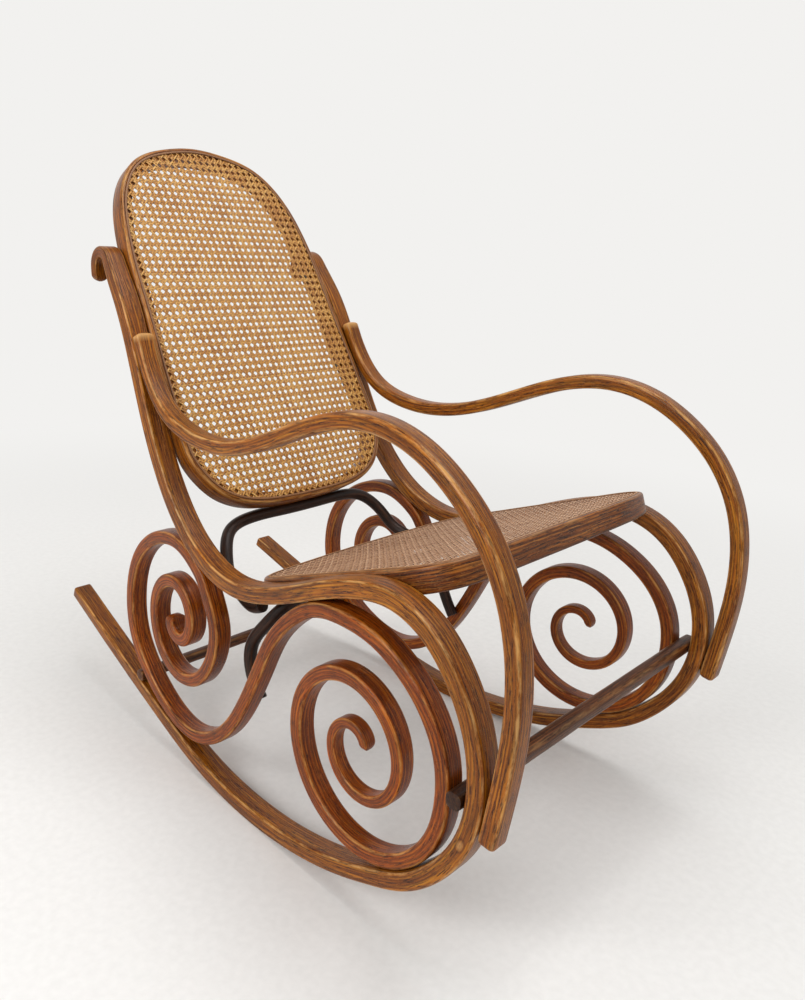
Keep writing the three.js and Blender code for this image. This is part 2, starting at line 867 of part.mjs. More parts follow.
// A screw that goes through the long bar into a bar beside it, with its head sunk in the long bar
function joinToRail(name, distance, line, other, side, word) {
  const start = onBar(railLine, distance, side);
  const target = onBar(line, line.nearest(railLine.point(distance)), side);
  const direction = target.sub(start).setY(0).normalize();
  const thick = railThickAt(railLine, distance);
  start.addScaledVector(direction, -thick / 2);
  const sunk = screwHeadHigh + screwCover;
  const pieces = [`side_frame_${word}`, `${other}_${word}`];
  fasten(name, "screw", start, direction, thick - sunk + screwBite, pieces, sunk);
}

sides.forEach(([word, side]) => {
  joinToRail(`arm_top_screw_${word}`, railLine.nearest(place(-372, 698)), armLine, "arm", side, word);
  joinToRail(`arm_foot_screw_${word}`, railLine.nearest(place(414, 240)), armLine, "arm", side, word);
  ["post", "foot", "rail", "heel"].forEach((where) => {
    const distance = railLine.nearest(place(...touch[where]));
    joinToRail(`scroll_${where}_screw_${word}`, distance, scrollLine, "scroll", side, word);
  });
});

// The two sides: long bar, scroll and arm, all in one leaning plane
sides.forEach(([word, side]) => {
  const railSize = (distance) => ({ thick: railThickAt(railLine, distance), wide: railWide });
  const lowest = railLine.nearest(place(runnerFoot, runnerLow));
  const flatEnds = [lowest - flatReach, lowest, lowest + flatReach];
  const railStations = railLine.stations(turnStep, longestStep, flatEnds);
  const rail = bentBar(railLine, railStations, railSize, side);
  addMesh(`side_frame_${word}`, drill(`side_frame_${word}`, rail), wood.frame);

  const tip = [scrollLine.start + tipLong];
  const scroll = bentBar(scrollLine, scrollLine.stations(curlTurnStep, longestStep, tip), scrollSize, side);
  addMesh(`scroll_${word}`, drill(`scroll_${word}`, scroll), wood.frame);

  const armSize = (distance) => ({ thick: armThickAt(distance), wide: armWide });
  const arm = bentBar(armLine, armLine.stations(turnStep, longestStep), armSize, side);
  addMesh(`arm_${word}`, drill(`arm_${word}`, arm), wood.arm);
});

// The seat and the back: ring, spline and cane for each
function addPanel(word, parent, line, wide, deep, round, look, caneLook) {
  const distances = mirroredStations(line, panelTurnStep, panelLongestStep);
  const ring = ringGeometry(line, distances, ringSection(wide, deep, round));
  addMesh(`${word}_frame`, drill(`${word}_frame`, ring, parent), look, parent);
  addMesh(`${word}_spline`, ringGeometry(line, distances, splineSection()), wood.spline, parent);
  addMesh(`${word}_cane`, netGeometry(line, distances, wide), caneLook, parent);
}

addPanel("seat", seat, seatOutline(), seatRingWide, seatDeep, panelRound, wood.seat, wood.cane);
addPanel("back", back.holder, backOutline(), backRingWide, backDeep, panelRound, wood.frame, wood.backCane);

// The place under the seat ring where a round bar touches it
function underSeat(x, y, radius) {
  const down = seatDeep + radius + fitGap;
  const along = (x - seat.position.x - down * Math.sin(seatTilt)) / Math.cos(seatTilt);
  const z = seat.position.z + along * Math.sin(seatTilt) - down * Math.cos(seatTilt);
  return new THREE.Vector3(x, y, z);
}

// The front rod runs from side to side in the gap between scroll and front bend.
function rodBetween(name, centre, radius, proud) {
  const half = spanAt(centre) + railWide / 2 + proud;
  const rod = new THREE.CylinderGeometry(radius, radius, 2 * half, rodSides);
  const mesh = addMesh(name, rod, wood.dark);
  mesh.position.set(centre.x, 0, centre.y);
}

const frontRodCentre = beside(...touch.front, 2 * frontRodRadius, rodGap - railGap);
rodBetween("front_rod", frontRodCentre, frontRodRadius, frontRodProud);

// The rear rod sits in the notch between the runner and the scroll's loop above it.
function rearRodCentre() {
  const away = scrollThick / 2 + rearRodRadius + rodGap;
  const centreAt = (x) =>
    beside(x, x * aboveRunner.slope + aboveRunner.high, 2 * rearRodRadius, rodGap - railGap);
  let x = rearRodSearch.from;
  let centre = centreAt(x);
  while (scrollLine.point(scrollLine.nearest(centre)).distanceTo(centre) < away && x > rearRodSearch.to) {
    x -= rearRodSearch.step;
    centre = centreAt(x);
  }
  return centre;
}

rodBetween("rear_rod", rearRodCentre(), rearRodRadius, 0);

// A curve in space from one side to the other: the points of one side, then the same points mirrored
function acrossCurve(points) {
  const mirrored = points.map((point) => point.clone().setY(-point.y)).reverse();
  return new THREE.CatmullRomCurve3([...points, ...mirrored], false, "centripetal");
}

// The hoop behind the back: its legs lie under the seat ring and its top bar carries the back's foot.
const backFoot = new THREE.Vector2(backBottom + faceOffset - 2, 2 - backDeep);
backFoot.add(new THREE.Vector2(1, -1).setLength(hoopRadius + fitGap));
const hoopTop = back.face.clone().addScaledVector(back.axis, backFoot.x);
hoopTop.addScaledVector(back.ahead, backFoot.y);
const hoopKnee = place(-170, 335);
const hoop = acrossCurve([
  underSeat(-52, 208, hoopRadius),
  underSeat(-80, 205, hoopRadius),
  new THREE.Vector3(-112, 201, place(0, 312).y),
  new THREE.Vector3(hoopKnee.x + 14, 190, hoopKnee.y - 8),
  new THREE.Vector3(hoopKnee.x - 10, 178, hoopKnee.y + 18),
  new THREE.Vector3(hoopTop.x + 5, 152, hoopTop.y - 11),
  new THREE.Vector3(hoopTop.x, 112, hoopTop.y - 1),
  new THREE.Vector3(hoopTop.x, 50, hoopTop.y),
]);
addMesh("rear_hoop", roundBar(hoop, hoopRadius, hoopSteps, roundSides), wood.dark);

// The brace under the seat: its feet are screwed to the inner faces of the scrolls.
function beforeScroll(x, z) {
  const point = scrollLine.point(scrollLine.nearest(place(x, z)));
  return new THREE.Vector3(point.x, spanAt(point) - scrollWide / 2 - braceRadius - rodGap, point.y);
}
const brace = acrossCurve([
  beforeScroll(-26, 178),
  new THREE.Vector3(place(-50, 0).x, 228, place(0, 216).y),
  new THREE.Vector3(place(-57, 0).x, 224, place(0, 250).y),
  new THREE.Vector3(place(-36, 0).x, 216, place(0, 292).y),
  underSeat(-6, 190, braceRadius),
  underSeat(-4, 120, braceRadius),
  underSeat(-4, 40, braceRadius),
]);
addMesh("under_brace", roundBar(brace, braceRadius, braceSteps, roundSides), wood.dark);

fasteners.forEach(({ name, body }) => addMesh(name, body, wood.steel));

// The origin's place under the middle of the whole chair
const bounds = new THREE.Box3().setFromObject(group, true);
group.position.x = -(bounds.min.x + bounds.max.x) / 2;

export default group;
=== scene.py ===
import json
import math

import bmesh
import bpy
import numpy as np
from mathutils import Matrix, Vector, noise

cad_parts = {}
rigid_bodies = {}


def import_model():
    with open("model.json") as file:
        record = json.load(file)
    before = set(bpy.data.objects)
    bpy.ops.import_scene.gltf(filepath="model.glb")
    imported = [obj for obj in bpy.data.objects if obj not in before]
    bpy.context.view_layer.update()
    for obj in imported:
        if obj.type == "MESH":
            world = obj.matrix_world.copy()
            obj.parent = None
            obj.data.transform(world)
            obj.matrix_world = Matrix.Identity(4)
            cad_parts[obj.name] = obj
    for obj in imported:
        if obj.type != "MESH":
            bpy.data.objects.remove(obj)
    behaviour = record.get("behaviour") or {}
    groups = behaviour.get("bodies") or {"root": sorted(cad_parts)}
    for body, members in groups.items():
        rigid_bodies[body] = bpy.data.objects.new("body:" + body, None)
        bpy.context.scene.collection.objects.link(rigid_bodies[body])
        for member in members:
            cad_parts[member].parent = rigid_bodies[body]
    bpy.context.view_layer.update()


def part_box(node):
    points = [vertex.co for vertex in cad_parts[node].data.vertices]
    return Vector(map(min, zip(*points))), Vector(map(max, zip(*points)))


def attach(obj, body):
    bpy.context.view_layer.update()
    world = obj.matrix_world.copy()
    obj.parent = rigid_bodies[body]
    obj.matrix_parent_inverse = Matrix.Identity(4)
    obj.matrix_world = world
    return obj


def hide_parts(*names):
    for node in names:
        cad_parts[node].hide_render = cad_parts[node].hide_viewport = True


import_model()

# A bentwood rocking chair with a cane seat and back.
# Lengths are in millimetres until a mesh is finished, and metres after that.
# X is forward, Y is to the sitter's left and Z is up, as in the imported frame.

mm = 0.001
scene = bpy.context.scene
sides = {"right": -1, "left": 1}


# Small tools

def lerp(a, b, share):
    return a + (b - a) * share


def smoothStep(value, low, high):
    share = min(max((value - low) / (high - low), 0), 1)
    return share * share * (3 - 2 * share)


# sRGB hex to the linear colour that sockets take
def tone(hexColour):
    shown = [int(hexColour[i:i + 2], 16) / 255 for i in (1, 3, 5)]
    linear = [s / 12.92 if s <= 0.04045 else ((s + 0.055) / 1.055) ** 2.4 for s in shown]
    return (*linear, 1)


# A natural cubic through the points, as the chair's solids have it. A closed line is worked out
# with a few of its points repeated beyond each end.

class SmoothLine:
    repeated = 4

    def __init__(self, points, closed=False):
        wrap = self.repeated if closed else 0
        before = points[len(points) - wrap:]
        after = points[:wrap + 1] if closed else []
        self.points = np.array(before + points + after, float)
        steps = np.linalg.norm(np.diff(self.points, axis=0), axis=1)
        self.at = np.concatenate([[0], np.cumsum(steps)])
        self.bend = self.bends()
        self.start = self.at[wrap]
        self.end = self.at[wrap + len(points) - (0 if closed else 1)]
        self.long = self.end - self.start

    def bends(self):
        spans = np.diff(self.at)
        slopes = np.diff(self.points, axis=0) / spans[:, None]
        table = np.eye(len(self.at))
        for i in range(1, len(spans)):
            before, after = spans[i - 1], spans[i]
            table[i, i - 1:i + 2] = before, 2 * (before + after), after
        right = np.zeros_like(self.points)
        right[1:-1] = 6 * np.diff(slopes, axis=0)
        return np.linalg.solve(table, right)

    def point(self, distance):
        i = min(max(int(np.searchsorted(self.at, distance)), 1), len(self.at) - 1)
        span = self.at[i] - self.at[i - 1]
        far = (distance - self.at[i - 1]) / span
        near = 1 - far
        curve = (near ** 3 - near) * self.bend[i - 1] + (far ** 3 - far) * self.bend[i]
        return near * self.points[i - 1] + far * self.points[i] + curve * span * span / 6

    def tangent(self, distance):
        step = 0.01
        along = self.point(distance + step) - self.point(distance - step)
        return along / np.linalg.norm(along)

    def nearest(self, target, coarse=4, fine=0.001):
        def gapTo(distance):
            return np.linalg.norm(self.point(distance) - target)
        best = min(np.arange(self.start, self.end, coarse), key=gapTo)
        step = coarse / 2
        while step > fine:
            closer = [d for d in (best - step, best + step) if gapTo(d) < gapTo(best)]
            best = closer[0] if closer else best
            step /= 2
        return best


# The sides' curves, in the side view (X, Z), as the solids have them

halfSpan = {"tailLow": 222, "noseLow": 287, "tailHigh": 204, "noseHigh": 285}
corners = {"tail": -570, "nose": 450, "low": 0, "high": 800}
barGap = 0.6
longBar = {
    "thick": 25, "wide": 34, "tailThick": 21, "hookThick": 15, "hookWide": 25, "rounding": 4.5,
    "hookTaper": 170, "hookNarrowing": 130, "tailTaper": 420, "flatDepth": 0.6, "ringEvery": 5,
    "hook": {"x": -449.5, "z": 766, "radius": 26.5, "from": 190, "to": 25, "steps": 6},
    "hookEnd": (-475, 744), "tipRound": (12, 3),
    "postAndRail": [
        (-387, 725), (-326, 607), (-264, 489), (-223, 436), (-173, 393), (-112, 365), (-46, 359),
        (18, 374), (80, 399), (140, 427), (202, 451), (268, 462), (331, 443), (381, 396),
        (412, 337), (421, 272), (407, 207), (373, 151), (324, 104),
    ],
    "runner": {"foot": -11, "low": 12, "radius": 650, "from": 25, "to": -13, "step": 6},
    "tail": [(-251, 56), (-378, 98), (-503, 142), (-570, 166)],
}
scroll = {
    "thick": 22, "wide": 30, "curlThick": 14, "curlWide": 20, "rounding": 5,
    "curlTaper": 520, "ringEvery": 3.4, "tipRound": (9, 12),
    "rear": {
        "x": -209.5, "z": 249.5, "from": -173, "to": 373, "step": 34,
        "radius": 22.4, "grow": 45.5, "flare": 47.1, "squash": 1.06,
    },
    "front": {
        "x": 218, "z": 234, "from": 18, "to": 732, "step": 30,
        "radius": 17, "grow": 116, "flare": 21, "squash": 1,
    },
    "heelReach": 330, "heelStep": 4, "heelSag": 0.4, "heelTries": 6,
}
touch = {"post": (-165, 360), "foot": (-228, 80), "rail": (128, 388), "front": (372, 268)}
arm = {
    "thick": 22, "wide": 30, "topThick": 18, "footThick": 24, "rounding": 6,
    "taperFrom": 60, "topTaper": 200, "footTaper": 230, "ringEvery": 5, "tipRound": (6, 10),
    "bareEnds": (15, 3),  # how far the polish is worn off at the upper end and at the foot
}
frontRod = {
    "radius": 12, "proud": 3, "thick": 22, "wide": 22, "rounding": 8, "gap": 0.8, "ringEvery": 12,
    # the rod's colour is darker over a stretch at its right-hand end
    "tipRound": (1.2, 1.2), "blackEnd": 46,
}
rearRod = {
    "radius": 10, "proud": 0, "thick": 18.4, "wide": 18.4, "rounding": 6.5, "gap": 0.8,
    "ringEvery": 12, "tipRound": (1.2, 1.2),
    "from": -250, "to": -420, "step": 0.5, "slope": -0.3, "high": 60,
}

lift = 0.0  # set below, once the draft line shows how low the runner lies


def spiralPoints(spiral):
    count = round((spiral["to"] - spiral["from"]) / spiral["step"])
    points = []
    for i in range(count + 1):
        share = i / count
        angle = math.radians(lerp(spiral["from"], spiral["to"], share))
        radius = spiral["radius"] + spiral["grow"] * share + spiral["flare"] * share * share
        across = radius * math.cos(angle) / spiral["squash"]
        points.append((spiral["x"] + across, spiral["z"] + radius * math.sin(angle) * spiral["squash"]))
    return points


def place(x, z):
    return (x, z + lift)


# Half the spacing of the sides' middle planes at a place in the side view
def spanAt(x, z):
    forward = (x - corners["tail"]) / (corners["nose"] - corners["tail"])
    up = (z - lift - corners["low"]) / (corners["high"] - corners["low"])
    atLow = lerp(halfSpan["tailLow"], halfSpan["noseLow"], forward)
    atHigh = lerp(halfSpan["tailHigh"], halfSpan["noseHigh"], forward)
    return lerp(atLow, atHigh, up)


def longBarPoints():
    hook, runner = longBar["hook"], longBar["runner"]
    points = [longBar["hookEnd"]]
    for i in range(hook["steps"] + 1):
        angle = math.radians(lerp(hook["from"], hook["to"], i / hook["steps"]))
        across, up = hook["radius"] * math.cos(angle), hook["radius"] * math.sin(angle)
        points.append((hook["x"] + across, hook["z"] + up))
    points += longBar["postAndRail"]
    for angle in range(runner["from"], runner["to"], -runner["step"]):
        turn = math.radians(angle)
        forward, up = runner["radius"] * math.sin(turn), runner["radius"] * (1 - math.cos(turn))
        points.append((runner["foot"] + forward, runner["low"] + up))
    return [place(*p) for p in points + longBar["tail"]]


def longBarThick(distance):
    fromHook = smoothStep(distance - longLine.start, 0, longBar["hookTaper"])
    toTail = smoothStep(longLine.end - distance, 0, longBar["tailTaper"])
    upper = lerp(longBar["hookThick"], longBar["thick"], fromHook)
    return lerp(longBar["tailThick"], upper, toTail)


# The lowest point of the draft line gives the lift that puts the runner on the floor
draft = SmoothLine(longBarPoints())
lowest = min(draft.point(d)[1] for d in np.arange(draft.start, draft.end, 0.5))
lift = longBar["thick"] / 2 - longBar["flatDepth"] - lowest
longLine = SmoothLine(longBarPoints())


# The place where a bar of this thickness touches the long bar, on the point's side
def beside(x, z, thick, spacer=0.0):
    target = place(x, z)
    at = longLine.nearest(target)
    centre = longLine.point(at)
    away = longBarThick(at) / 2 + thick / 2 + barGap + spacer
    return tuple(centre + (target - centre) / np.linalg.norm(target - centre) * away)


rodSpace = 2 * frontRod["radius"] + 2 * frontRod["gap"] - barGap


def frontSpiral(raised):
    spiral = scroll["front"]
    outer = beside(*touch["front"], scroll["thick"], rodSpace)
    drawn = np.array([place(*p) for p in spiralPoints(spiral)])
    centre = np.array(place(spiral["x"], spiral["z"]))
    middle = centre + (0, raised)
    reach = np.linalg.norm(outer - middle) / np.linalg.norm(drawn[-1] - centre)
    grown = np.linspace(1, reach, len(drawn))[:, None]
    return [tuple(p) for p in middle + (drawn - centre) * grown]


def heelGap(points):
    loop = SmoothLine(points)
    least = math.inf
    reach = scroll["heelReach"]
    for distance in np.arange(loop.end - reach, loop.end - reach / 4, scroll["heelStep"]):
        point = loop.point(distance)
        at = longLine.nearest(point)
        solid = longBarThick(at) / 2 + scroll["thick"] / 2
        least = min(least, np.linalg.norm(longLine.point(at) - point) - solid)
    return least


def scrollPoints():
    raised = 0.0
    for _ in range(scroll["heelTries"]):
        raised += barGap + scroll["heelSag"] - heelGap(frontSpiral(raised))
    thick = scroll["thick"]
    toPost = [place(-124, 318), place(-139, 340), beside(*touch["post"], thick)]
    loop = [(-203, 376), (-256, 372), (-302, 347), (-338, 305), (-357, 237), (-345, 168), (-300, 115)]
    middle = [(-163, 65), (-107, 85), (-63, 123), (-23, 184), (12, 258), (42, 318), (80, 362)]
    top = [(185, 405), (235, 402), (290, 382), (335, 348), (364, 302)]
    return [
        *[place(*p) for p in spiralPoints(scroll["rear"])], *toPost,
        *[place(*p) for p in loop], beside(*touch["foot"], thick),
        *[place(*p) for p in middle], beside(*touch["rail"], thick),
        *[place(*p) for p in top], *reversed(frontSpiral(raised)),
    ]


def armPoints():
    sweep = [
        (-302, 620), (-259, 577), (-192, 554), (-122, 552), (-53, 566), (13, 591), (77, 620),
        (143, 645), (213, 656), (282, 645), (345, 613), (397, 566), (433, 506), (451, 438), (455, 367),
    ]
    top, foot = arm["topThick"], arm["footThick"]
    return [
        beside(-339, 678, top), beside(-327, 655, top), *[place(*p) for p in sweep],
        beside(450, 296, foot, 4), beside(445, 258, foot), beside(438, 226, foot, 1.6),
    ]


scrollLine = SmoothLine(scrollPoints())
armLine = SmoothLine(armPoints())

# The front rod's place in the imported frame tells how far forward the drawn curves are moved
rodSpot = beside(*touch["front"], 2 * frontRod["radius"], frontRod["gap"] - barGap)
rodLow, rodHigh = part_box("front_rod")
forwardMove = (rodLow.x + rodHigh.x) / 2 / mm - rodSpot[0]
print("side curves ready, moved forward by", round(forwardMove, 2), "mm")


# Materials. Each pattern's sizes are in millimetres, taken along, across and into the straight bar.

# A setting is a property of the node, the value of one of its sockets, or the stops of its ramp
def fillNode(tree, node, settings, links):
    for name, value in settings.items():
        if name == "stops":
            elements = node.color_ramp.elements
            while len(elements) < len(value):
                elements.new(0.5)
            for element, (position, colour) in zip(elements, value):
                element.position = position
                element.color = tone(colour) if isinstance(colour, str) else (colour, colour, colour, 1)
        elif hasattr(node, str(name)):
            setattr(node, name, value)
        else:
            node.inputs[name].default_value = value
    for name, source in links.items():
        tree.links.new(source, node.inputs[name])


# Adds a node and gives its outputs
def addNode(tree, kind, settings=None, links=None):
    node = tree.nodes.new("ShaderNode" + kind)
    fillNode(tree, node, settings or {}, links or {})
    return node.outputs


def newMaterial(name):
    material = bpy.data.materials.new(name)
    material.use_nodes = True
    tree = material.node_tree
    return material, tree, tree.nodes["Principled BSDF"]


beechGrain = {
    "ringEvery": 3.3, "ringTilt": (0, 0.8, 0.6), "wander": (190, 21, 21), "wanderRings": 5,
    "band": (240, 9, 9), "streak": (110, 2.6, 2.6),
    "pore": (20, 1.3, 1.3),  # real pores are about 0.1 mm wide: drawn coarse enough to show
    "fleck": (3.2, 1.6, 1.2),  # beech's short bright rays
    # the first sizes below are for the broken patches of the pale arris line: wear with a painted
    # highlight
    "wearAndHighlight": (40, 7, 7), "stainPatch": (95, 95, 95),
    "knotSize": (14, 8, 8), "apart": (60, 35),  # how far one piece's figure lies from the next one's
    "relief": 0.3, "polish": 1.3,  # a hand-rubbed polish shines less than a thick varnish
}
# Each look's pale tone serves flecks, bare ends, knots, and the arrises' wear with a painted highlight
bentWoodLook = {
    "dark": "#783a08", "mid": "#9e5812", "light": "#bb761a", "pore": "#361503", "worn": "#dca866",
    "rough": 0.28, "wearAndHighlight": 0.75,
}
scrollWoodLook = {
    "dark": "#763004", "mid": "#9e4806", "light": "#b86412", "pore": "#331202", "worn": "#d89a52",
    "rough": 0.27, "wearAndHighlight": 0.7,
}
seatWoodLook = {
    "dark": "#5a290c", "mid": "#8a4a16", "light": "#aa6c2c", "pore": "#26100a", "worn": "#cf9f68",
    "rough": 0.28, "wearAndHighlight": 0.5,
}
darkWoodLook = {
    "dark": "#1a0d07", "mid": "#301a10", "light": "#472a19", "pore": "#0e0604", "worn": "#6b4630",
    "rough": 0.34, "wearAndHighlight": 0.3,
}
rodWoodLook = {
    "dark": "#3d1b08", "mid": "#683818", "light": "#885124", "pore": "#1e0d06", "worn": "#a87c4c",
    "rough": 0.36, "wearAndHighlight": 0.5,
}


# Beech, steam bent, stained and polished by hand: the grain runs along the bar and round its bends,
# the arrises are rubbed pale and carry a painted highlight, and a thin polish gives the satin sheen.
def polishedBeech(name, look):
    material, tree, shader = newMaterial(name)
    grain = addNode(tree, "Attribute", {"attribute_name": "grain"})["Vector"]
    worn, bare, blackened = [
        addNode(tree, "Attribute", {"attribute_name": word})["Fac"]
        for word in ("worn", "bare", "blackened")
    ]
    whole = addNode(tree, "TexCoord")["Object"]

    # Cloudy streaks of these lengths, as they are or sorted by the stops
    def pattern(source, sizes, detail, rough, stops=None):
        scale = tuple(1 / (size * mm) for size in sizes)
        scaled = addNode(tree, "Mapping", {"Scale": scale}, {"Vector": source})["Vector"]
        cloudy = {"Scale": 1, "Detail": detail, "Roughness": rough}
        value = addNode(tree, "TexNoise", cloudy, {"Vector": scaled})["Fac"]
        if stops is None:
            return value
        return addNode(tree, "ValToRGB", {"stops": stops}, {"Fac": value})["Color"]

    streaks = [(0.34, look["dark"]), (0.5, look["mid"]), (0.68, look["light"])]
    colour = pattern(grain, beechGrain["streak"], 3, 0.6, streaks)

    # Growth rings: planes a few millimetres apart, tilted in the bar and wandering along it
    spacing = beechGrain["ringEvery"] * mm
    tilt = {"operation": "DOT_PRODUCT", 1: [part / spacing for part in beechGrain["ringTilt"]]}
    rings = addNode(tree, "VectorMath", tilt, {0: grain})["Value"]
    wander = {"operation": "MULTIPLY_ADD", 1: beechGrain["wanderRings"]}
    wandered = {0: pattern(grain, beechGrain["wander"], 1.5, 0.5), 2: rings}
    rings = addNode(tree, "Math", wander, wandered)[0]
    fold = addNode(tree, "Math", {"operation": "PINGPONG", 1: 0.5}, {0: rings})[0]
    lateWood = {"stops": [(0, 0.62), (0.2, 0.3), (0.42, 0)]}
    lines = addNode(tree, "ValToRGB", lateWood, {"Fac": fold})["Color"]

    pores = pattern(grain, beechGrain["pore"], 2, 0.6, [(0.55, 0), (0.61, 0.85)])
    flecks = pattern(grain, beechGrain["fleck"], 1, 0.5, [(0.6, 0), (0.78, 0.2)])
    bands = pattern(grain, beechGrain["band"], 2, 0.5, [(0.34, 0.76), (0.58, 1)])
    patch = pattern(whole, beechGrain["stainPatch"], 2, 0.5)
    uneven = {"stops": [(0.34, 0.8), (0.6, 1)]}
    stain = addNode(tree, "ValToRGB", uneven, {"Fac": patch})["Color"]
    # Broken patches of pale along the arrises: wear, with a painted highlight laid on it
    wearAndHighlightPatches = pattern(grain, beechGrain["wearAndHighlight"], 4, 0.7, [(0.42, 0), (0.62, look["wearAndHighlight"])])
    wearAndHighlight = addNode(tree, "Math", {"operation": "MULTIPLY"}, {0: worn, 1: wearAndHighlightPatches})[0]

    # From the wood up: each layer shows one of the look's tones, or darkens what lies under it
    layers = [
        (lines, "pore"), (pores, "pore"), (flecks, "worn"), (bands, None), (stain, None),
        # the first layer here is the arris line: pale wear with a painted highlight
        (wearAndHighlight, "worn"), (bare, "worn"), (blackened, "pore"),
    ]
    if "knot" in look:
        scale = tuple(1 / (size * mm) for size in beechGrain["knotSize"])
        middle = tuple(-at * part for at, part in zip(look["knot"], scale))
        centred = {"Scale": scale, "Location": middle}
        around = addNode(tree, "Mapping", centred, {"Vector": grain})[0]
        around = addNode(tree, "VectorMath", {"operation": "LENGTH"}, {0: around})
        paleCore = [(0.2, 0.42), (0.7, 0)]
        darkRim = [(0, 0.35), (0.2, 0.1), (0.55, 0.1), (0.72, 0.5), (1, 0)]
        for stops, shade in ((paleCore, "worn"), (darkRim, "pore")):
            share = addNode(tree, "ValToRGB", {"stops": stops}, {"Fac": around["Value"]})
            layers.append((share["Color"], shade))
    # A colour mix takes its share at 0 and its colours at 6 and 7, and gives its colour at 2
    for share, shade in layers:
        if shade:
            settings, links = {7: tone(look[shade])}, {0: share, 6: colour}
        else:
            settings, links = {"blend_type": "MULTIPLY", 0: 1.0}, {6: colour, 7: share}
        colour = addNode(tree, "Mix", {"data_type": "RGBA", **settings}, links)[2]

    gloss = {"To Min": look["rough"] - 0.05, "To Max": look["rough"] + 0.14}
    gloss = addNode(tree, "MapRange", gloss, {0: patch})[0]
    relief = {"Strength": 0.4, "Distance": beechGrain["relief"] * mm, "invert": True}
    relief = addNode(tree, "Bump", relief, {"Height": pores})[0]
    surface = {"Base Color": colour, "Roughness": gloss, "Normal": relief}
    fillNode(tree, shader, {"IOR": beechGrain["polish"]}, surface)
    return material


rattanGrain = {
    "fibre": 55, "strandApart": 7.3, "ownTone": 0.45, "relief": 0.15,
    "fibresAcross": 2.2,  # the real skin has dozens: drawn coarse enough to show
}
# The darkest tone of each cane look darkens the strands' edges and is the painted shade where they dip
seatCaneLook = {
    "dark": "#8d6344", "mid": "#b28460", "light": "#d6af8b", "edgeAndShade": "#573622", "rough": 0.46,
}
backCaneLook = {
    "dark": "#985c1c", "mid": "#c78a38", "light": "#e6b566", "edgeAndShade": "#5c300c", "rough": 0.42,
}
splineLook = {
    "dark": "#6b4020", "mid": "#8f5f33", "light": "#ad7c49", "edgeAndShade": "#4f2c13", "rough": 0.5,
}


# Peeled rattan, split and woven: a hard shiny skin with fine lines along it, each strand a little
# different in tone, darker towards its edges, and with painted shade where it dips under the next one
def peeledRattan(name, look):
    material, tree, shader = newMaterial(name)
    strand = addNode(tree, "Attribute", {"attribute_name": "strand"})["Vector"]
    dip = addNode(tree, "Attribute", {"attribute_name": "dip"})["Fac"]
    spot = addNode(tree, "SeparateXYZ", {}, {"Vector": strand})
    own = addNode(tree, "TexWhiteNoise", {"noise_dimensions": "1D"}, {"W": spot["Z"]})
    scale = (1 / (rattanGrain["fibre"] * mm), rattanGrain["fibresAcross"], rattanGrain["strandApart"])
    scaled = addNode(tree, "Mapping", {"Scale": scale}, {"Vector": strand})["Vector"]
    streaky = {"Scale": 1, "Detail": 3, "Roughness": 0.6}
    fibres = addNode(tree, "TexNoise", streaky, {"Vector": scaled})["Fac"]
    tones = {2: fibres, 3: own["Value"]}
    tones = addNode(tree, "Mix", {0: rattanGrain["ownTone"]}, tones)[0]
    skin = {"stops": [(0.22, look["dark"]), (0.48, look["mid"]), (0.76, look["light"])]}
    skin = addNode(tree, "ValToRGB", skin, {"Fac": tones})["Color"]
    # Darker towards each strand's edges
    edge = addNode(tree, "Math", {"operation": "ABSOLUTE"}, {0: spot["Y"]})[0]
    edgeAndShadeDark = addNode(tree, "ValToRGB", {"stops": [(0.55, 0), (1, 0.8)]}, {"Fac": edge})
    # Painted shade where a strand dips under the next one
    low = addNode(tree, "ValToRGB", {"stops": [(0.45, 0), (1, 0.75)]}, {"Fac": dip})
    both = {0: edgeAndShadeDark["Color"], 1: low["Color"]}
    edgeAndShadeDark = addNode(tree, "Math", {"operation": "MAXIMUM"}, both)[0]
    edgeAndShadeMix = {"data_type": "RGBA", 7: tone(look["edgeAndShade"])}
    colour = addNode(tree, "Mix", edgeAndShadeMix, {0: edgeAndShadeDark, 6: skin})[2]
    relief = {"Strength": 0.2, "Distance": rattanGrain["relief"] * mm}
    relief = addNode(tree, "Bump", relief, {"Height": fibres})[0]
    surface = {"Base Color": colour, "Normal": relief}
    fillNode(tree, shader, {"Roughness": look["rough"], "IOR": 1.5}, surface)
    return material


steelLook = {"spot": 4, "spots": [(0.35, "#3b342d"), (0.65, "#6e665c")], "rough": (0.35, 0.6)}


# Mild steel, turned and dulled with age: grey-brown with darker spots
def dulledSteel(name):
    material, tree, shader = newMaterial(name)
    whole = addNode(tree, "TexCoord")["Object"]
    spotty = {"Scale": 1 / (steelLook["spot"] * mm), "Detail": 4}
    spots = addNode(tree, "TexNoise", spotty, {"Vector": whole})["Fac"]
    colour = addNode(tree, "ValToRGB", {"stops": steelLook["spots"]}, {"Fac": spots})["Color"]
    rough = {"To Min": steelLook["rough"][0], "To Max": steelLook["rough"][1]}
    rough = addNode(tree, "MapRange", rough, {0: spots})[0]
    fillNode(tree, shader, {"Metallic": 1.0}, {"Base Color": colour, "Roughness": rough})
    return material


# Where a point of a piece lies in the grain. Each piece has a log of its own, so no two look alike.
def grainPlace(along, across, out, log):
    acrossApart, outApart = beechGrain["apart"]
    return Vector((along, across + acrossApart * log, out + outApart * log)) * mm


# A bare knot in the outer face of the near side's bar, low on the front bend
knot = {"x": 410, "z": 214, "log": 1}
knotAlong = longLine.nearest(place(knot["x"], knot["z"])) - longLine.start
bentWoodLook["knot"] = grainPlace(knotAlong, longBar["wide"] / 2, 0, knot["log"])

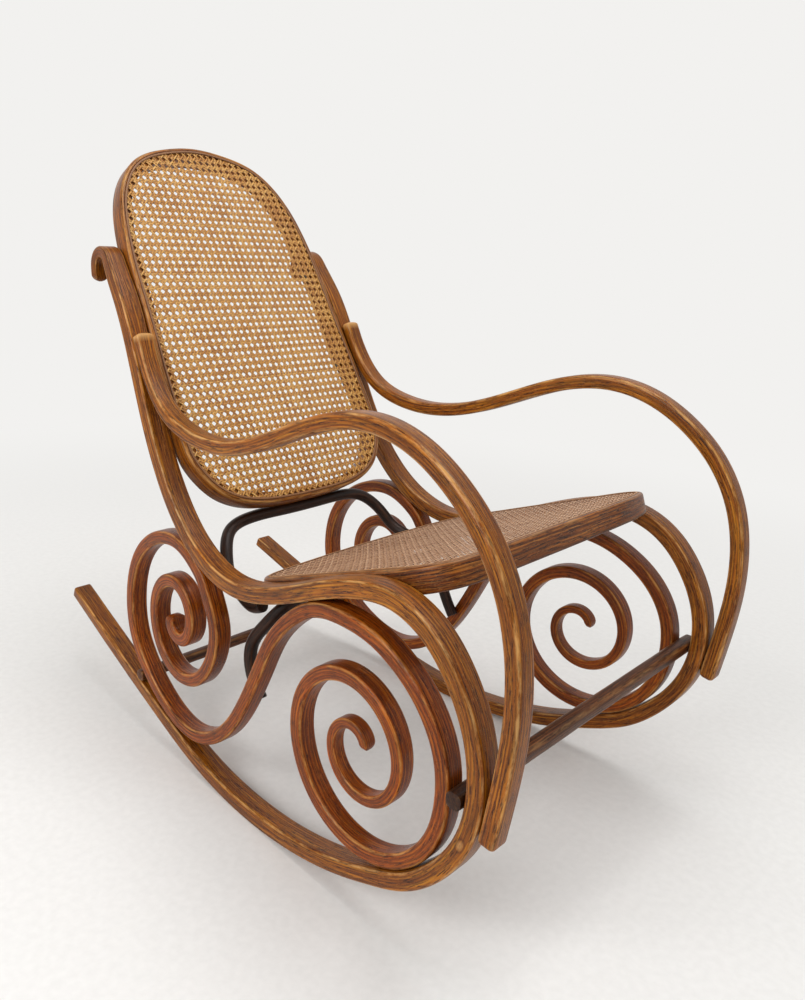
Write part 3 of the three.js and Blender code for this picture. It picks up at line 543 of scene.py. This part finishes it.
woods = {
    "bent_wood": polishedBeech("polishedBeechBrown", bentWoodLook),
    "scroll_wood": polishedBeech("polishedBeechAmber", scrollWoodLook),
    "seat_wood": polishedBeech("polishedBeechRed", seatWoodLook),
    "dark_wood": polishedBeech("polishedBeechDark", darkWoodLook),
}
rodWood = polishedBeech("polishedBeechRod", rodWoodLook)
seatCaneSkin = peeledRattan("peeledRattanPink", seatCaneLook)
backCaneSkin = peeledRattan("peeledRattanGold", backCaneLook)
reedSkin = peeledRattan("roundReed", splineLook)
steel = dulledSteel("dulledSteel")
print("materials ready")


# Finishing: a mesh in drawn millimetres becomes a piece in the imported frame

creaseAngle = math.radians(40)


def addObject(name, data):
    made = bpy.data.objects.new(name, data)
    scene.collection.objects.link(made)
    return made


def meshObject(name, mesh, material):
    data = bpy.data.meshes.new(name)
    mesh.to_mesh(data)
    mesh.free()
    data.materials.append(material)
    return addObject(name, data)


def finishPiece(mesh, name, slot, node, material=None):
    move = Matrix.Scale(mm, 4) @ Matrix.Translation((forwardMove, 0, 0))
    bmesh.ops.transform(mesh, matrix=move, verts=mesh.verts)
    bmesh.ops.recalc_face_normals(mesh, faces=mesh.faces)
    for face in mesh.faces:
        face.smooth = True
    for edge in mesh.edges:
        edge.smooth = len(edge.link_faces) != 2 or edge.calc_face_angle() <= creaseAngle
    piece = meshObject(name, mesh, material or woods[slot])
    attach(piece, "root")
    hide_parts(node)
    return piece


# Bars: made straight with rounded tips, and then bent, as the real ones are

barMake = {
    "arrisSteps": 5, "tipRings": 5,
    "tipFlat": 0.2,  # the share of the section that is left at a tip
}
endTone = {"bare": 0.6, "bareFull": 0.3, "black": 0.7, "blackFull": 0.7}
barHand = {"uneven": 0.013, "long": 70, "deep": 40, "seed": 3.7}
rodHand = {"uneven": 0.02, "long": 60, "deep": 30, "seed": 1}
roundHand = {"uneven": 0.025, "long": 50, "deep": 20, "seed": 1}


# Work by hand leaves a section a little off its size
def unevenness(hand, along, out, log):
    spot = Vector((along / hand["long"], hand["seed"] * log, out / hand["deep"]))
    return hand["uneven"] * noise.noise(spot)


def lengthwiseEdges(bar, least):
    return [e for e in bar.edges if abs(e.verts[0].co.x - e.verts[1].co.x) > least]


# Keeps each point's place in the straight bar, its arris wear and painted highlight, bareness and
# darker end
def markGrain(bar, long, shape, log):
    wide, thick, rounding = shape["wide"], shape["thick"], shape["rounding"]
    bareEnds, blackEnd = shape.get("bareEnds", (0, 0)), shape.get("blackEnd", 0)
    grain = bar.verts.layers.float_vector.new("grain")
    worn, bare, blackened = [bar.verts.layers.float.new(word) for word in ("worn", "bare", "blackened")]
    for vert in bar.verts:
        along, across, out = vert.co
        vert[grain] = grainPlace(along, across, out, log)
        a = min(max((abs(across) - wide / 2 + rounding) / rounding, 0), 1)
        b = min(max((abs(out) - thick / 2 + rounding) / rounding, 0), 1)
        arris = 2 * a * b / (a * a + b * b) if a * b > 0 else 0
        # Paler along the middle of each rounded arris: wear, with a painted highlight
        vert[worn] = arris ** 4
        ends = [
            1 - smoothStep(gap, reach * endTone["bareFull"], reach)
            for gap, reach in zip((along, long - along), bareEnds) if reach
        ]
        vert[bare] = endTone["bare"] * max(ends, default=0)
        # The colour darkens over the last stretch of the bar, where its shape asks for it
        if blackEnd:
            dark = smoothStep(along, long - blackEnd, long - blackEnd * endTone["blackFull"])
            vert[blackened] = endTone["black"] * dark


def straightBar(long, shape, log):
    bar = bmesh.new()
    bmesh.ops.create_cube(bar, size=1)
    bmesh.ops.scale(bar, vec=(long, shape["wide"], shape["thick"]), verts=bar.verts)
    bmesh.ops.translate(bar, vec=(long / 2, 0, 0), verts=bar.verts)
    arrises = lengthwiseEdges(bar, long / 2)
    bmesh.ops.bevel(bar, geom=arrises, offset=shape["rounding"],
                    segments=barMake["arrisSteps"], profile=0.5, affect="EDGES", material=-1)
    spans = lengthwiseEdges(bar, long / 2)
    bmesh.ops.subdivide_edges(bar, edges=spans, cuts=round(long / shape["ringEvery"]) - 1)

    # Rings close together near each tip, drawn in along a quarter of a circle
    startRound, endRound = shape["tipRound"]
    step = math.pi / 2 / (barMake["tipRings"] + 1)
    for tip, inward, radius in ((0, 1, startRound), (long, -1, endRound)):
        for number in range(1, barMake["tipRings"] + 1):
            everything = bar.verts[:] + bar.edges[:] + bar.faces[:]
            spot = (tip + inward * radius * (1 - math.cos(step * number)), 0, 0)
            bmesh.ops.bisect_plane(bar, geom=everything, dist=0.01, plane_co=spot, plane_no=(1, 0, 0))
    for vert in bar.verts:
        for gap, radius in ((vert.co.x, startRound), (long - vert.co.x, endRound)):
            if gap < radius:
                drawnIn = math.sqrt(max(1 - (1 - gap / radius) ** 2, barMake["tipFlat"] ** 2))
                vert.co.y *= drawnIn
                vert.co.z *= drawnIn
    markGrain(bar, long, shape, log)
    return bar


# Bends a straight bar of this shape along a line, where sizeAt gives its thickness and width
def bentBar(line, sizeAt, shape, side, log):
    bar = straightBar(line.long, shape, log)
    rings = {}
    for vert in bar.verts:
        along, across, out = vert.co
        key = round(along, 3)
        if key not in rings:
            distance = line.start + along
            centre, forward = line.point(distance), line.tangent(distance)
            rings[key] = (centre, forward, spanAt(*centre), *sizeAt(distance))
        centre, forward, span, thickHere, wideHere = rings[key]
        wobble = 1 - barHand["uneven"] + unevenness(barHand, along, out, log)
        outHere = out * thickHere / shape["thick"] * wobble
        acrossHere = across * wideHere / shape["wide"] * wobble
        x = centre[0] - forward[1] * outHere
        z = centre[1] + forward[0] * outHere
        vert.co = (x, side * (span + acrossHere), max(z, 0))  # flat where it meets the floor
    return bar


def longBarSize(distance):
    fromHook = smoothStep(distance - longLine.start, 0, longBar["hookNarrowing"])
    return longBarThick(distance), lerp(longBar["hookWide"], longBar["wide"], fromHook)


def scrollSize(distance):
    body = smoothStep(scrollLine.end - distance, 0, scroll["curlTaper"])
    thick = lerp(scroll["curlThick"], scroll["thick"], body)
    return thick, lerp(scroll["curlWide"], scroll["wide"], body)


def armSize(distance):
    fromTop = smoothStep(distance - armLine.start, arm["taperFrom"], arm["topTaper"])
    toFoot = smoothStep(armLine.end - distance, arm["taperFrom"], arm["footTaper"])
    upper = lerp(arm["topThick"], arm["thick"], fromTop)
    return lerp(arm["footThick"], upper, toFoot), arm["wide"]


for log, (word, side) in enumerate(sides.items(), 1):
    bar = bentBar(longLine, longBarSize, longBar, side, log)
    finishPiece(bar, f"longBar_{word}", "bent_wood", f"side_frame_{word}")
    bar = bentBar(scrollLine, scrollSize, scroll, side, log + 2)
    finishPiece(bar, f"scrollBar_{word}", "bent_wood", f"scroll_{word}", woods["scroll_wood"])
    bar = bentBar(armLine, armSize, arm, side, log + 4)
    finishPiece(bar, f"armBar_{word}", "bent_wood", f"arm_{word}")
print("sides made")


# Rods and round bars between the sides

def rearRodSpot():
    away = scroll["thick"] / 2 + rearRod["radius"] + rearRod["gap"]
    for x in np.arange(rearRod["from"], rearRod["to"], -rearRod["step"]):
        high = x * rearRod["slope"] + rearRod["high"]
        spot = beside(x, high, 2 * rearRod["radius"], rearRod["gap"] - barGap)
        if np.linalg.norm(scrollLine.point(scrollLine.nearest(spot)) - spot) >= away:
            return spot


def crossRod(rod, spot, log):
    half = spanAt(*spot) + longBar["wide"] / 2 + rod["proud"]
    bar = straightBar(2 * half, rod, log)
    for vert in bar.verts:
        along, across, out = vert.co
        hand = 1 + unevenness(rodHand, along, out, log)
        vert.co = (spot[0] + across * hand, half - along, spot[1] + out * hand)
    return bar


roundMake = {"sides": 20, "rim": 1.5, "ringEvery": 6}


# A round stick bent along a curve in space
def roundBar(points, radius, log):
    line = SmoothLine(points)
    bar = bmesh.new()
    bmesh.ops.create_cone(bar, cap_ends=True, segments=roundMake["sides"], radius1=radius,
                          radius2=radius, depth=line.long)
    bmesh.ops.rotate(bar, cent=(0, 0, 0), matrix=Matrix.Rotation(math.pi / 2, 3, "Y"), verts=bar.verts)
    bmesh.ops.translate(bar, vec=(line.long / 2, 0, 0), verts=bar.verts)
    spans = lengthwiseEdges(bar, radius)
    rims = [e for e in bar.edges if e not in spans]
    bmesh.ops.bevel(bar, geom=rims, offset=roundMake["rim"], segments=2,
                    profile=0.5, affect="EDGES", material=-1)
    spans = lengthwiseEdges(bar, line.long / 2)
    bmesh.ops.subdivide_edges(bar, edges=spans, cuts=round(line.long / roundMake["ringEvery"]))
    markGrain(bar, line.long, {"wide": 2 * radius, "thick": 2 * radius, "rounding": radius}, log)
    frames = {}
    out = Vector((0, 0, 1))
    for station in sorted({round(v.co.x, 2) for v in bar.verts}):
        forward = Vector(line.tangent(line.start + station))
        out = (out - forward * out.dot(forward)).normalized()
        frames[station] = (Vector(line.point(line.start + station)), out, forward.cross(out))
    for vert in bar.verts:
        centre, out, across = frames[round(vert.co.x, 2)]
        hand = 1 + unevenness(roundHand, vert.co.x, vert.co.z, log)
        vert.co = centre + out * vert.co.z * hand + across * vert.co.y * hand
    return bar


hoop = {"radius": 10, "gap": 0.3, "knee": (-170, 335), "inset": 2}
brace = {"radius": 10, "gap": 0.8, "foot": (-26, 178)}
seat = {
    "rise": 0.405, "high": 385, "deep": 34, "ringWide": 32, "rear": -83, "front": 349, "corner": 70,
    "cornerCut": 0.29, "rounding": 5, "sag": 4, "every": 6, "wood": "seat_wood", "seam": 0, "log": 11,
}
back = {
    "top": 318, "bottom": 331, "deep": 34, "ringWide": 21, "faceDown": 80, "aheadOfUpper": 18,
    "aheadOfLower": 26, "upper": (-408, 757), "lower": (-323, 601), "rounding": 5, "sag": -2,
    "every": 6, "wood": "bent_wood", "seam": 0.5, "log": 12,
}
panel = {
    "rim": 6.5, "groove": 4.5, "grooveDeep": 7, "caneSink": 2.6, "gap": 0.3, "clear": 0.6,
    "splineProud": 0.8, "splineRounding": 1.2,
    "innerRounding": {1: 0.6, 5: 1.4, 6: 2.5},  # by the corner's number in the ring's section
    # The pale line along the ring's top edge is wear with a painted highlight
    "cornerSteps": 4, "wearAndHighlight": {"at": 2, "wide": 4, "deep": 5},
}
seatTilt = math.atan(seat["rise"])


def mirrored(points):
    return [*points, *[(x, -y, z) for x, y, z in reversed(points)]]


def underSeat(x, y, radius):
    down = seat["deep"] + radius + hoop["gap"]
    along = (x - down * math.sin(seatTilt)) / math.cos(seatTilt)
    return (x, y, seat["high"] + lift + along * math.sin(seatTilt) - down * math.cos(seatTilt))


# The back's face in the side view: its origin and the directions down it and ahead of it
def backPlane():
    upper, lower = [longLine.point(longLine.nearest(place(*back[end]))) for end in ("upper", "lower")]
    down = lower - upper
    between = np.linalg.norm(down)
    swing = math.asin((back["aheadOfLower"] - back["aheadOfUpper"]) / between)
    turn = math.atan2(-down[1], down[0]) - swing
    axis = np.array((math.cos(turn), -math.sin(turn)))
    ahead = np.array((math.sin(turn), math.cos(turn)))
    return upper + ahead * back["aheadOfUpper"], axis, ahead, turn, between * math.cos(swing)


backFace, backAxis, backAhead, backTurn, backBetween = backPlane()
seatPlace = Matrix.Translation((0, 0, seat["high"] + lift)) @ Matrix.Rotation(-seatTilt, 4, "Y")
backPlace = Matrix.Translation((backFace[0], 0, backFace[1])) @ Matrix.Rotation(backTurn, 4, "Y")


def hoopPoints():
    radius = hoop["radius"]
    rest = (radius + hoop["gap"]) / math.sqrt(2)
    down = back["bottom"] + back["faceDown"] - hoop["inset"] + rest
    topX, topZ = backFace + backAxis * down + backAhead * (hoop["inset"] - back["deep"] - rest)
    kneeX, kneeZ = place(*hoop["knee"])
    return mirrored([
        underSeat(-52, 208, radius), underSeat(-80, 205, radius), (-112, 201, 312 + lift),
        (kneeX + 14, 190, kneeZ - 8), (kneeX - 10, 178, kneeZ + 18), (topX + 5, 152, topZ - 11),
        (topX, 112, topZ - 1), (topX, 50, topZ),
    ])


def bracePoints():
    radius = brace["radius"]
    foot = scrollLine.point(scrollLine.nearest(place(*brace["foot"])))
    inner = spanAt(*foot) - scroll["wide"] / 2 - radius - brace["gap"]
    return mirrored([
        (foot[0], inner, foot[1]), (-50, 228, 216 + lift), (-57, 224, 250 + lift),
        (-36, 216, 292 + lift), underSeat(-6, 190, radius), underSeat(-4, 120, radius),
        underSeat(-4, 40, radius),
    ])


finishPiece(crossRod(frontRod, rodSpot, 7), "frontRod", "dark_wood", "front_rod", rodWood)
finishPiece(crossRod(rearRod, rearRodSpot(), 8), "rearRod", "dark_wood", "rear_rod", rodWood)
finishPiece(roundBar(hoopPoints(), hoop["radius"], 9), "rearHoop", "dark_wood", "rear_hoop")
finishPiece(roundBar(bracePoints(), brace["radius"], 10), "underBrace", "dark_wood", "under_brace")
print("rods made")


# The seat and the back: a bent ring, a cane sheet and the reed that wedges it into its groove

def closedOutline(half):
    return SmoothLine([*half, *[(along, -wide) for along, wide in reversed(half[1:-1])]], closed=True)


def clearHalf(x, z):
    return spanAt(x, z) - longBar["wide"] / 2 - panel["clear"]


def backOutline():
    def edge(down):
        middle = backFace + backAxis * down - backAhead * back["deep"] / 2
        return clearHalf(*middle)
    return closedOutline([
        (back["faceDown"] - back["top"], 0), (-231, 58), (-205, 126), (-165, 162), (-127, 179.5),
        (-61, 194), (0, edge(0)), (74, edge(74) - 1), (backBetween, edge(backBetween)),
        (224, edge(224) - 0.6), (274, edge(274) - 1.5), (312, 211), (344, 198), (374, 175),
        (396, 138), (408, 82), (back["bottom"] + back["faceDown"], 0),
    ])


def seatOutline():
    def edge(along):
        high = seat["high"] + lift + along * math.sin(seatTilt)
        return clearHalf(along * math.cos(seatTilt), high)
    front, rear, corner = seat["front"], seat["rear"], seat["corner"]
    frontHalf, cut = edge(front - corner), corner * seat["cornerCut"]
    return closedOutline([
        (rear, 0), (rear + 4, 90), (rear + 15, 165), (rear + 33, edge(-50) - 22),
        (rear + 62, edge(-21) - 4), *[(along, edge(along)) for along in (40, 90, 140, 190, 240)],
        (front - corner, frontHalf), (front - cut, frontHalf - cut),
        (front - 1, frontHalf - corner - 6), (front + 3, 90), (front + 4, 0),
    ])


# 1 where the outline's left-hand side is its inside, and -1 where its right-hand side is
def leftward(line):
    points = np.array([line.point(d) for d in np.arange(line.start, line.end, 10)])
    after = np.roll(points, -1, axis=0)
    return 1 if np.sum(points[:, 0] * after[:, 1] - after[:, 0] * points[:, 1]) > 0 else -1


# A moulding of this section, rounded at some corners and wrapped round a closed outline.
# Its grain is joined at seam, a share of the way round.
def wrapped(line, section, rounded, holder, every, seam, log):
    bar = bmesh.new()
    corners = [bar.verts.new((0, inward, high)) for inward, high in section]
    bar.faces.new(corners)
    for number, radius in rounded.items():
        bmesh.ops.bevel(bar, geom=[corners[number]], offset=radius,
                        segments=panel["cornerSteps"], profile=0.5, affect="VERTICES", material=-1)
    made = bmesh.ops.extrude_face_region(bar, geom=bar.faces[:])["geom"]
    tip = [v for v in made if isinstance(v, bmesh.types.BMVert)]
    bmesh.ops.translate(bar, vec=(line.long, 0, 0), verts=tip)
    ends = [f for f in bar.faces if abs(f.calc_center_median().x - line.long / 2) > line.long / 4]
    bmesh.ops.delete(bar, geom=ends, context="FACES_ONLY")
    spans = lengthwiseEdges(bar, line.long / 2)
    bmesh.ops.subdivide_edges(bar, edges=spans, cuts=round(line.long / every) - 1)

    grain = bar.loops.layers.float_vector.new("grain")
    strand = bar.loops.layers.float_vector.new("strand")
    worn = bar.verts.layers.float.new("worn")
    wearAndHighlight = panel["wearAndHighlight"]
    narrow, *_, wide = sorted(inward for inward, high in section)
    for face in bar.faces:
        for loop in face.loops:
            along, inward, high = loop.vert.co
            loop[grain] = grainPlace(along, inward, high, log)
            loop[strand] = (along * mm, lerp(-1, 1, (inward - narrow) / (wide - narrow)), log)
    # Pale line along the rim's top edge: wear, with a painted highlight
    for vert in bar.verts:
        along, inward, high = vert.co
        acrossRim = min(max(1 - abs(inward - wearAndHighlight["at"]) / wearAndHighlight["wide"], 0), 1)
        vert[worn] = acrossRim * min(max(1 + high / wearAndHighlight["deep"], 0), 1)
    inside = leftward(line)
    rings = {}
    for vert in bar.verts:
        along, inward, high = vert.co
        key = round(along, 3)
        if key not in rings:
            distance = line.start + (along + seam * line.long) % line.long
            forward = line.tangent(distance) * inside
            rings[key] = (line.point(distance), (-forward[1], forward[0]))
        centre, inwards = rings[key]
        vert.co = (centre[0] + inwards[0] * inward, centre[1] + inwards[1] * inward, high)
    bmesh.ops.remove_doubles(bar, verts=bar.verts, dist=0.01)
    bmesh.ops.transform(bar, matrix=holder, verts=bar.verts)
    return bar


def ringSection(wide, deep):
    groove = panel["rim"] + panel["groove"]
    ledge = -panel["caneSink"] - panel["gap"]
    return [
        (0, 0), (panel["rim"], 0), (panel["rim"], -panel["grooveDeep"]), (groove, -panel["grooveDeep"]),
        (groove, ledge), (wide, ledge), (wide, -deep), (0, -deep),
    ]


def splineSection():
    left, right = panel["rim"] + panel["gap"], panel["rim"] + panel["groove"] - panel["gap"]
    floor = panel["gap"] - panel["grooveDeep"]
    return [(left, panel["splineProud"]), (right, panel["splineProud"]), (right, floor), (left, floor)]


weave = {
    "pitch": 12.7,  # chair cane is sold by the half-inch mesh
    "pair": 1.4, "wide": 2.5, "slantWide": 2.8, "thick": 0.5, "wave": 0.35, "slantWave": 0.6,
    "steps": 4, "slantSteps": 6, "up": 1.0, "crown": 0.22, "drift": 0.25, "driftEvery": 45,
    "edgeEvery": 3, "sagSpread": 1.6, "strandSeed": 3.1, "panelSeed": 7, "toneSeed": 0.37,
}


# How far along a line it enters and leaves the closed loop
def crossings(loop, origin, direction):
    side = (loop - origin) @ (-direction[1], direction[0])
    after = np.roll(side, -1)
    hits = np.nonzero((side > 0) != (after > 0))[0]
    if len(hits) < 2:
        return 0, 0
    share = side[hits] / (side[hits] - after[hits])
    points = loop[hits] + (np.roll(loop, -1, axis=0)[hits] - loop[hits]) * share[:, None]
    reach = (points - origin) @ direction
    return reach.min(), reach.max()


# Each strand as a point on it, its direction and its side of the pair
def strandLines(low, high):
    pitch, pair = weave["pitch"], weave["pair"]
    slant = 1 / math.sqrt(2)
    reach = math.ceil((abs(low).max() + abs(high).max()) * 2 / pitch)
    lines = {"long": [], "cross": [], "slant": []}
    for j in range(math.floor(low[1] / pitch), math.ceil(high[1] / pitch) + 1):
        lines["long"] += [((0, j * pitch + s * pair), (1, 0), s) for s in (-1, 1)]
    for i in range(math.floor(low[0] / pitch), math.ceil(high[0] / pitch) + 1):
        lines["cross"] += [((i * pitch + s * pair, 0), (0, 1), s) for s in (-1, 1)]
    for k in range(-reach, reach):
        offset = (k + 0.5) * pitch
        lines["slant"] += [((offset, 0), (slant, slant), -1), ((offset, 0), (slant, -slant), 1)]
    return lines


# How high a strand rides: the pairs go over and under each other, and the slants go between them
def weaveHeight(family, number, x, y):
    turnX, turnY = 2 * math.pi * x / weave["pitch"], 2 * math.pi * y / weave["pitch"]
    if family == "long":
        return -weave["wave"] * number * math.sin(turnX)
    if family == "cross":
        return weave["wave"] * number * math.sin(turnY)
    return number * weave["slantWave"] * (math.cos(turnX) - math.cos(turnY)) / 2


# The cane sheet of one panel, as three pieces: its long, cross and slanting strands
def canePieces(word, sizes, line, holder, skin):
    inside = leftward(line)
    inward = panel["rim"] + panel["groove"] / 2
    loop = []
    for distance in np.arange(line.start, line.end, weave["edgeEvery"]):
        forward = line.tangent(distance) * inside
        loop.append(line.point(distance) + np.array((-forward[1], forward[0])) * inward)
    loop = np.array(loop)
    low, high = loop.min(axis=0), loop.max(axis=0)
    middle, reach = (low + high) / 2, (high - low) / 2 - sizes["ringWide"] + inward
    base = weave["up"] - panel["caneSink"]
    log = sizes["log"]
    for family, lines in strandLines(low, high).items():
        slanted = family == "slant"
        broad = weave["slantWide" if slanted else "wide"]
        steps = weave["slantSteps" if slanted else "steps"]
        spacing = weave["pitch"] * (math.sqrt(2) if slanted else 1) / steps
        sheet = bmesh.new()
        mark = sheet.verts.layers.float_vector.new("strand")
        dip = sheet.verts.layers.float.new("dip")
        for number, (origin, direction, which) in enumerate(lines):
            first, last = crossings(loop, origin, direction)
            if last - first < weave["pitch"]:
                continue
            count = max(round((last - first) / spacing), 2)
            made = bmesh.ops.create_grid(sheet, x_segments=count, y_segments=2, size=0.5)["verts"]
            for vert in made:
                along = lerp(first, last, vert.co.x + 0.5)
                across = vert.co.y * 2
                seeds = (number * weave["strandSeed"], log * weave["panelSeed"])
                wander = noise.noise(Vector((along / weave["driftEvery"], *seeds)))
                aside = across * broad / 2 + weave["drift"] * wander
                x = origin[0] + direction[0] * along - direction[1] * aside
                y = origin[1] + direction[1] * along + direction[0] * aside
                u, v = (x - middle[0]) / reach[0], (y - middle[1]) / reach[1]
                hollow = max(1 - u * u, 0) * max(1 - v * v, 0)
                wave = weaveHeight(family, which, x, y)
                rise = wave + base - sizes["sag"] * min(hollow * weave["sagSpread"], 1)
                vert[dip] = 0.5 - wave / weave["slantWave"] / 2
                vert[mark] = (along * mm, across, number + log * weave["toneSeed"])
                vert.co = (x, y, rise + weave["crown"] * (1 - across * across))
        bmesh.ops.transform(sheet, matrix=holder, verts=sheet.verts)
        piece = finishPiece(sheet, f"{word}Cane_{family}", f"{word}_cane", f"{word}_cane", skin)
        shell = piece.modifiers.new("thickness", "SOLIDIFY")
        shell.thickness = weave["thick"] * mm
        shell.offset = 0
        print(piece.name, len(piece.data.polygons), "faces before its thickness")


def makePanel(word, sizes, line, holder, skin):
    seam, log, rounding = sizes["seam"], sizes["log"], sizes["rounding"]
    section = ringSection(sizes["ringWide"], sizes["deep"])
    rounded = {0: rounding, **panel["innerRounding"], 7: rounding}
    ring = wrapped(line, section, rounded, holder, sizes["every"], seam, log)
    finishPiece(ring, f"{word}Ring", sizes["wood"], f"{word}_frame")
    rounded = {0: panel["splineRounding"], 1: panel["splineRounding"]}
    reed = wrapped(line, splineSection(), rounded, holder, sizes["every"], seam, log + 0.5)
    finishPiece(reed, f"{word}Reed", "cane_spline", f"{word}_spline", reedSkin)
    canePieces(word, sizes, line, holder, skin)


makePanel("seat", seat, seatOutline(), seatPlace, seatCaneSkin)
makePanel("back", back, backOutline(), backPlace, backCaneSkin)
print("seat and back made")

# The screws at the arms' upper ends, so short that they end inside the posts
armScrew = {"at": (-372, 698), "head": 4.4, "dome": 2.2, "shank": 2, "deep": 14, "sink": 0.5}


def shortScrew(side):
    spot = longLine.nearest(place(*armScrew["at"]))
    centre, forward = longLine.point(spot), longLine.tangent(spot)
    behind = longBarThick(spot) / 2
    screw = bmesh.new()
    bmesh.ops.create_uvsphere(screw, u_segments=20, v_segments=10, radius=armScrew["head"])
    below = [v for v in screw.verts if v.co.z < -0.01]
    bmesh.ops.delete(screw, geom=below, context="VERTS")
    bmesh.ops.scale(screw, vec=(1, 1, armScrew["dome"] / armScrew["head"]), verts=screw.verts)
    rim = [e for e in screw.edges if e.is_boundary]
    bmesh.ops.holes_fill(screw, edges=rim)
    radius = armScrew["shank"]
    shank = bmesh.ops.create_cone(screw, cap_ends=True, segments=12, radius1=radius, radius2=radius,
                                  depth=armScrew["deep"])["verts"]
    bmesh.ops.translate(screw, vec=(0, 0, armScrew["sink"] - armScrew["deep"] / 2), verts=shank)
    out = Vector((forward[1], 0, -forward[0]))
    turn = out.to_track_quat("Z", "Y").to_matrix().to_4x4()
    start = Vector((centre[0], side * spanAt(*centre), centre[1])) + out * behind
    bmesh.ops.transform(screw, matrix=Matrix.Translation(start) @ turn, verts=screw.verts)
    return screw


for word, side in sides.items():
    finishPiece(shortScrew(side), f"armScrew_{word}", "steel", f"arm_top_screw_{word}", steel)

for node in scene.objects:
    if "_bolt_" in node.name or "_screw_" in node.name:
        for socket in node.material_slots:
            socket.material = steel


# Stage: a pale floor, a pale backdrop all round, and soft lamps high up

studio = {
    "floorHalf": 12.0, "board": [(0.3, "#e9e8e6"), (0.7, "#eeedeb")], "speckle": 12,
    "backdrop": "#f2f1ef", "fill": 0.62, "fadeFrom": 0.5, "fadeTo": 2.4,
    "lamps": [
        {"name": "leftSoftbox", "at": (-0.3, -3.2, 2.2), "size": 2.1, "watts": 68},
        {"name": "topSoftbox", "at": (0.5, 0.3, 3.3), "size": 2.2, "watts": 46},
    ],
    "aim": (0, 0, 0.45),
}


# Painted board, matt: near the chair it takes the shadow, and far off it runs into the pale backdrop
def paleFloor():
    material, tree, shader = newMaterial("mattPaintedBoard")
    whole = addNode(tree, "TexCoord")["Object"]
    grit = {"Scale": 1 / (studio["speckle"] * mm), "Detail": 2}
    grit = addNode(tree, "TexNoise", grit, {"Vector": whole})["Fac"]
    paint = addNode(tree, "ValToRGB", {"stops": studio["board"]}, {"Fac": grit})["Color"]
    fillNode(tree, shader, {"Roughness": 0.9}, {"Base Color": paint})
    away = addNode(tree, "VectorMath", {"operation": "LENGTH"}, {0: whole})["Value"]
    reach = {"interpolation_type": "SMOOTHSTEP", "From Min": studio["fadeFrom"]}
    fade = addNode(tree, "MapRange", {**reach, "From Max": studio["fadeTo"]}, {0: away})[0]
    seen = addNode(tree, "LightPath")["Is Camera Ray"]
    share = addNode(tree, "Math", {"operation": "MULTIPLY"}, {0: fade, 1: seen})[0]
    glow = {"Color": tone(studio["backdrop"]), "Strength": 1.0}
    glow = addNode(tree, "Emission", glow)[0]
    mixed = addNode(tree, "MixShader", {}, {0: share, 1: shader.outputs[0], 2: glow})[0]
    fillNode(tree, tree.nodes["Material Output"], {}, {"Surface": mixed})
    return material


board = bmesh.new()
bmesh.ops.create_grid(board, x_segments=1, y_segments=1, size=studio["floorHalf"])
floor = meshObject("floor", board, paleFloor())

world = bpy.data.worlds.new("studio")
scene.world = world
world.use_nodes = True
sky = world.node_tree
sky.nodes.clear()
rays = addNode(sky, "LightPath")
seen = rays["Is Camera Ray"]
for ray in ("Is Glossy Ray", "Is Transmission Ray"):
    seen = addNode(sky, "Math", {"operation": "MAXIMUM"}, {0: seen, 1: rays[ray]})[0]
backdrop = {"Color": tone(studio["backdrop"])}
fill, behind = [
    addNode(sky, "Background", {**backdrop, "Strength": strength})[0]
    for strength in (studio["fill"], 1.0)
]
mixed = addNode(sky, "MixShader", {}, {0: seen, 1: fill, 2: behind})[0]
addNode(sky, "OutputWorld", {}, {"Surface": mixed})

for lamp in studio["lamps"]:
    light = bpy.data.lights.new(lamp["name"], "AREA")
    light.shape = "DISK"
    light.size = lamp["size"]
    light.energy = lamp["watts"]
    holder = addObject(lamp["name"], light)
    holder.location = lamp["at"]
    towards = Vector(studio["aim"]) - Vector(lamp["at"])
    holder.rotation_euler = towards.to_track_quat("-Z", "Y").to_euler()

# The camera stands where the photograph was taken from: ahead of the chair, to its right and above
shot = {
    "at": (0.9359, -0.9896, 0.8840), "right": (0.73916, 0.66968, 0.07185),
    "down": (0.25976, -0.18503, -0.94778), "lens": 31.9, "sensor": 36, "shiftUp": 0.0042,
}
camera = bpy.data.cameras.new("camera")
camera.sensor_fit = "VERTICAL"
camera.sensor_height = shot["sensor"]
camera.lens = shot["lens"]
camera.shift_y = shot["shiftUp"]
camera.clip_start = 0.05
rightward, upward = Vector(shot["right"]), -Vector(shot["down"])
stand = addObject("camera", camera)
turn = Matrix((rightward, upward, rightward.cross(upward))).transposed().to_4x4()
stand.matrix_world = Matrix.Translation(shot["at"]) @ turn
scene.camera = stand
scene.view_settings.view_transform = "Standard"
print("stage, lamps and camera ready")
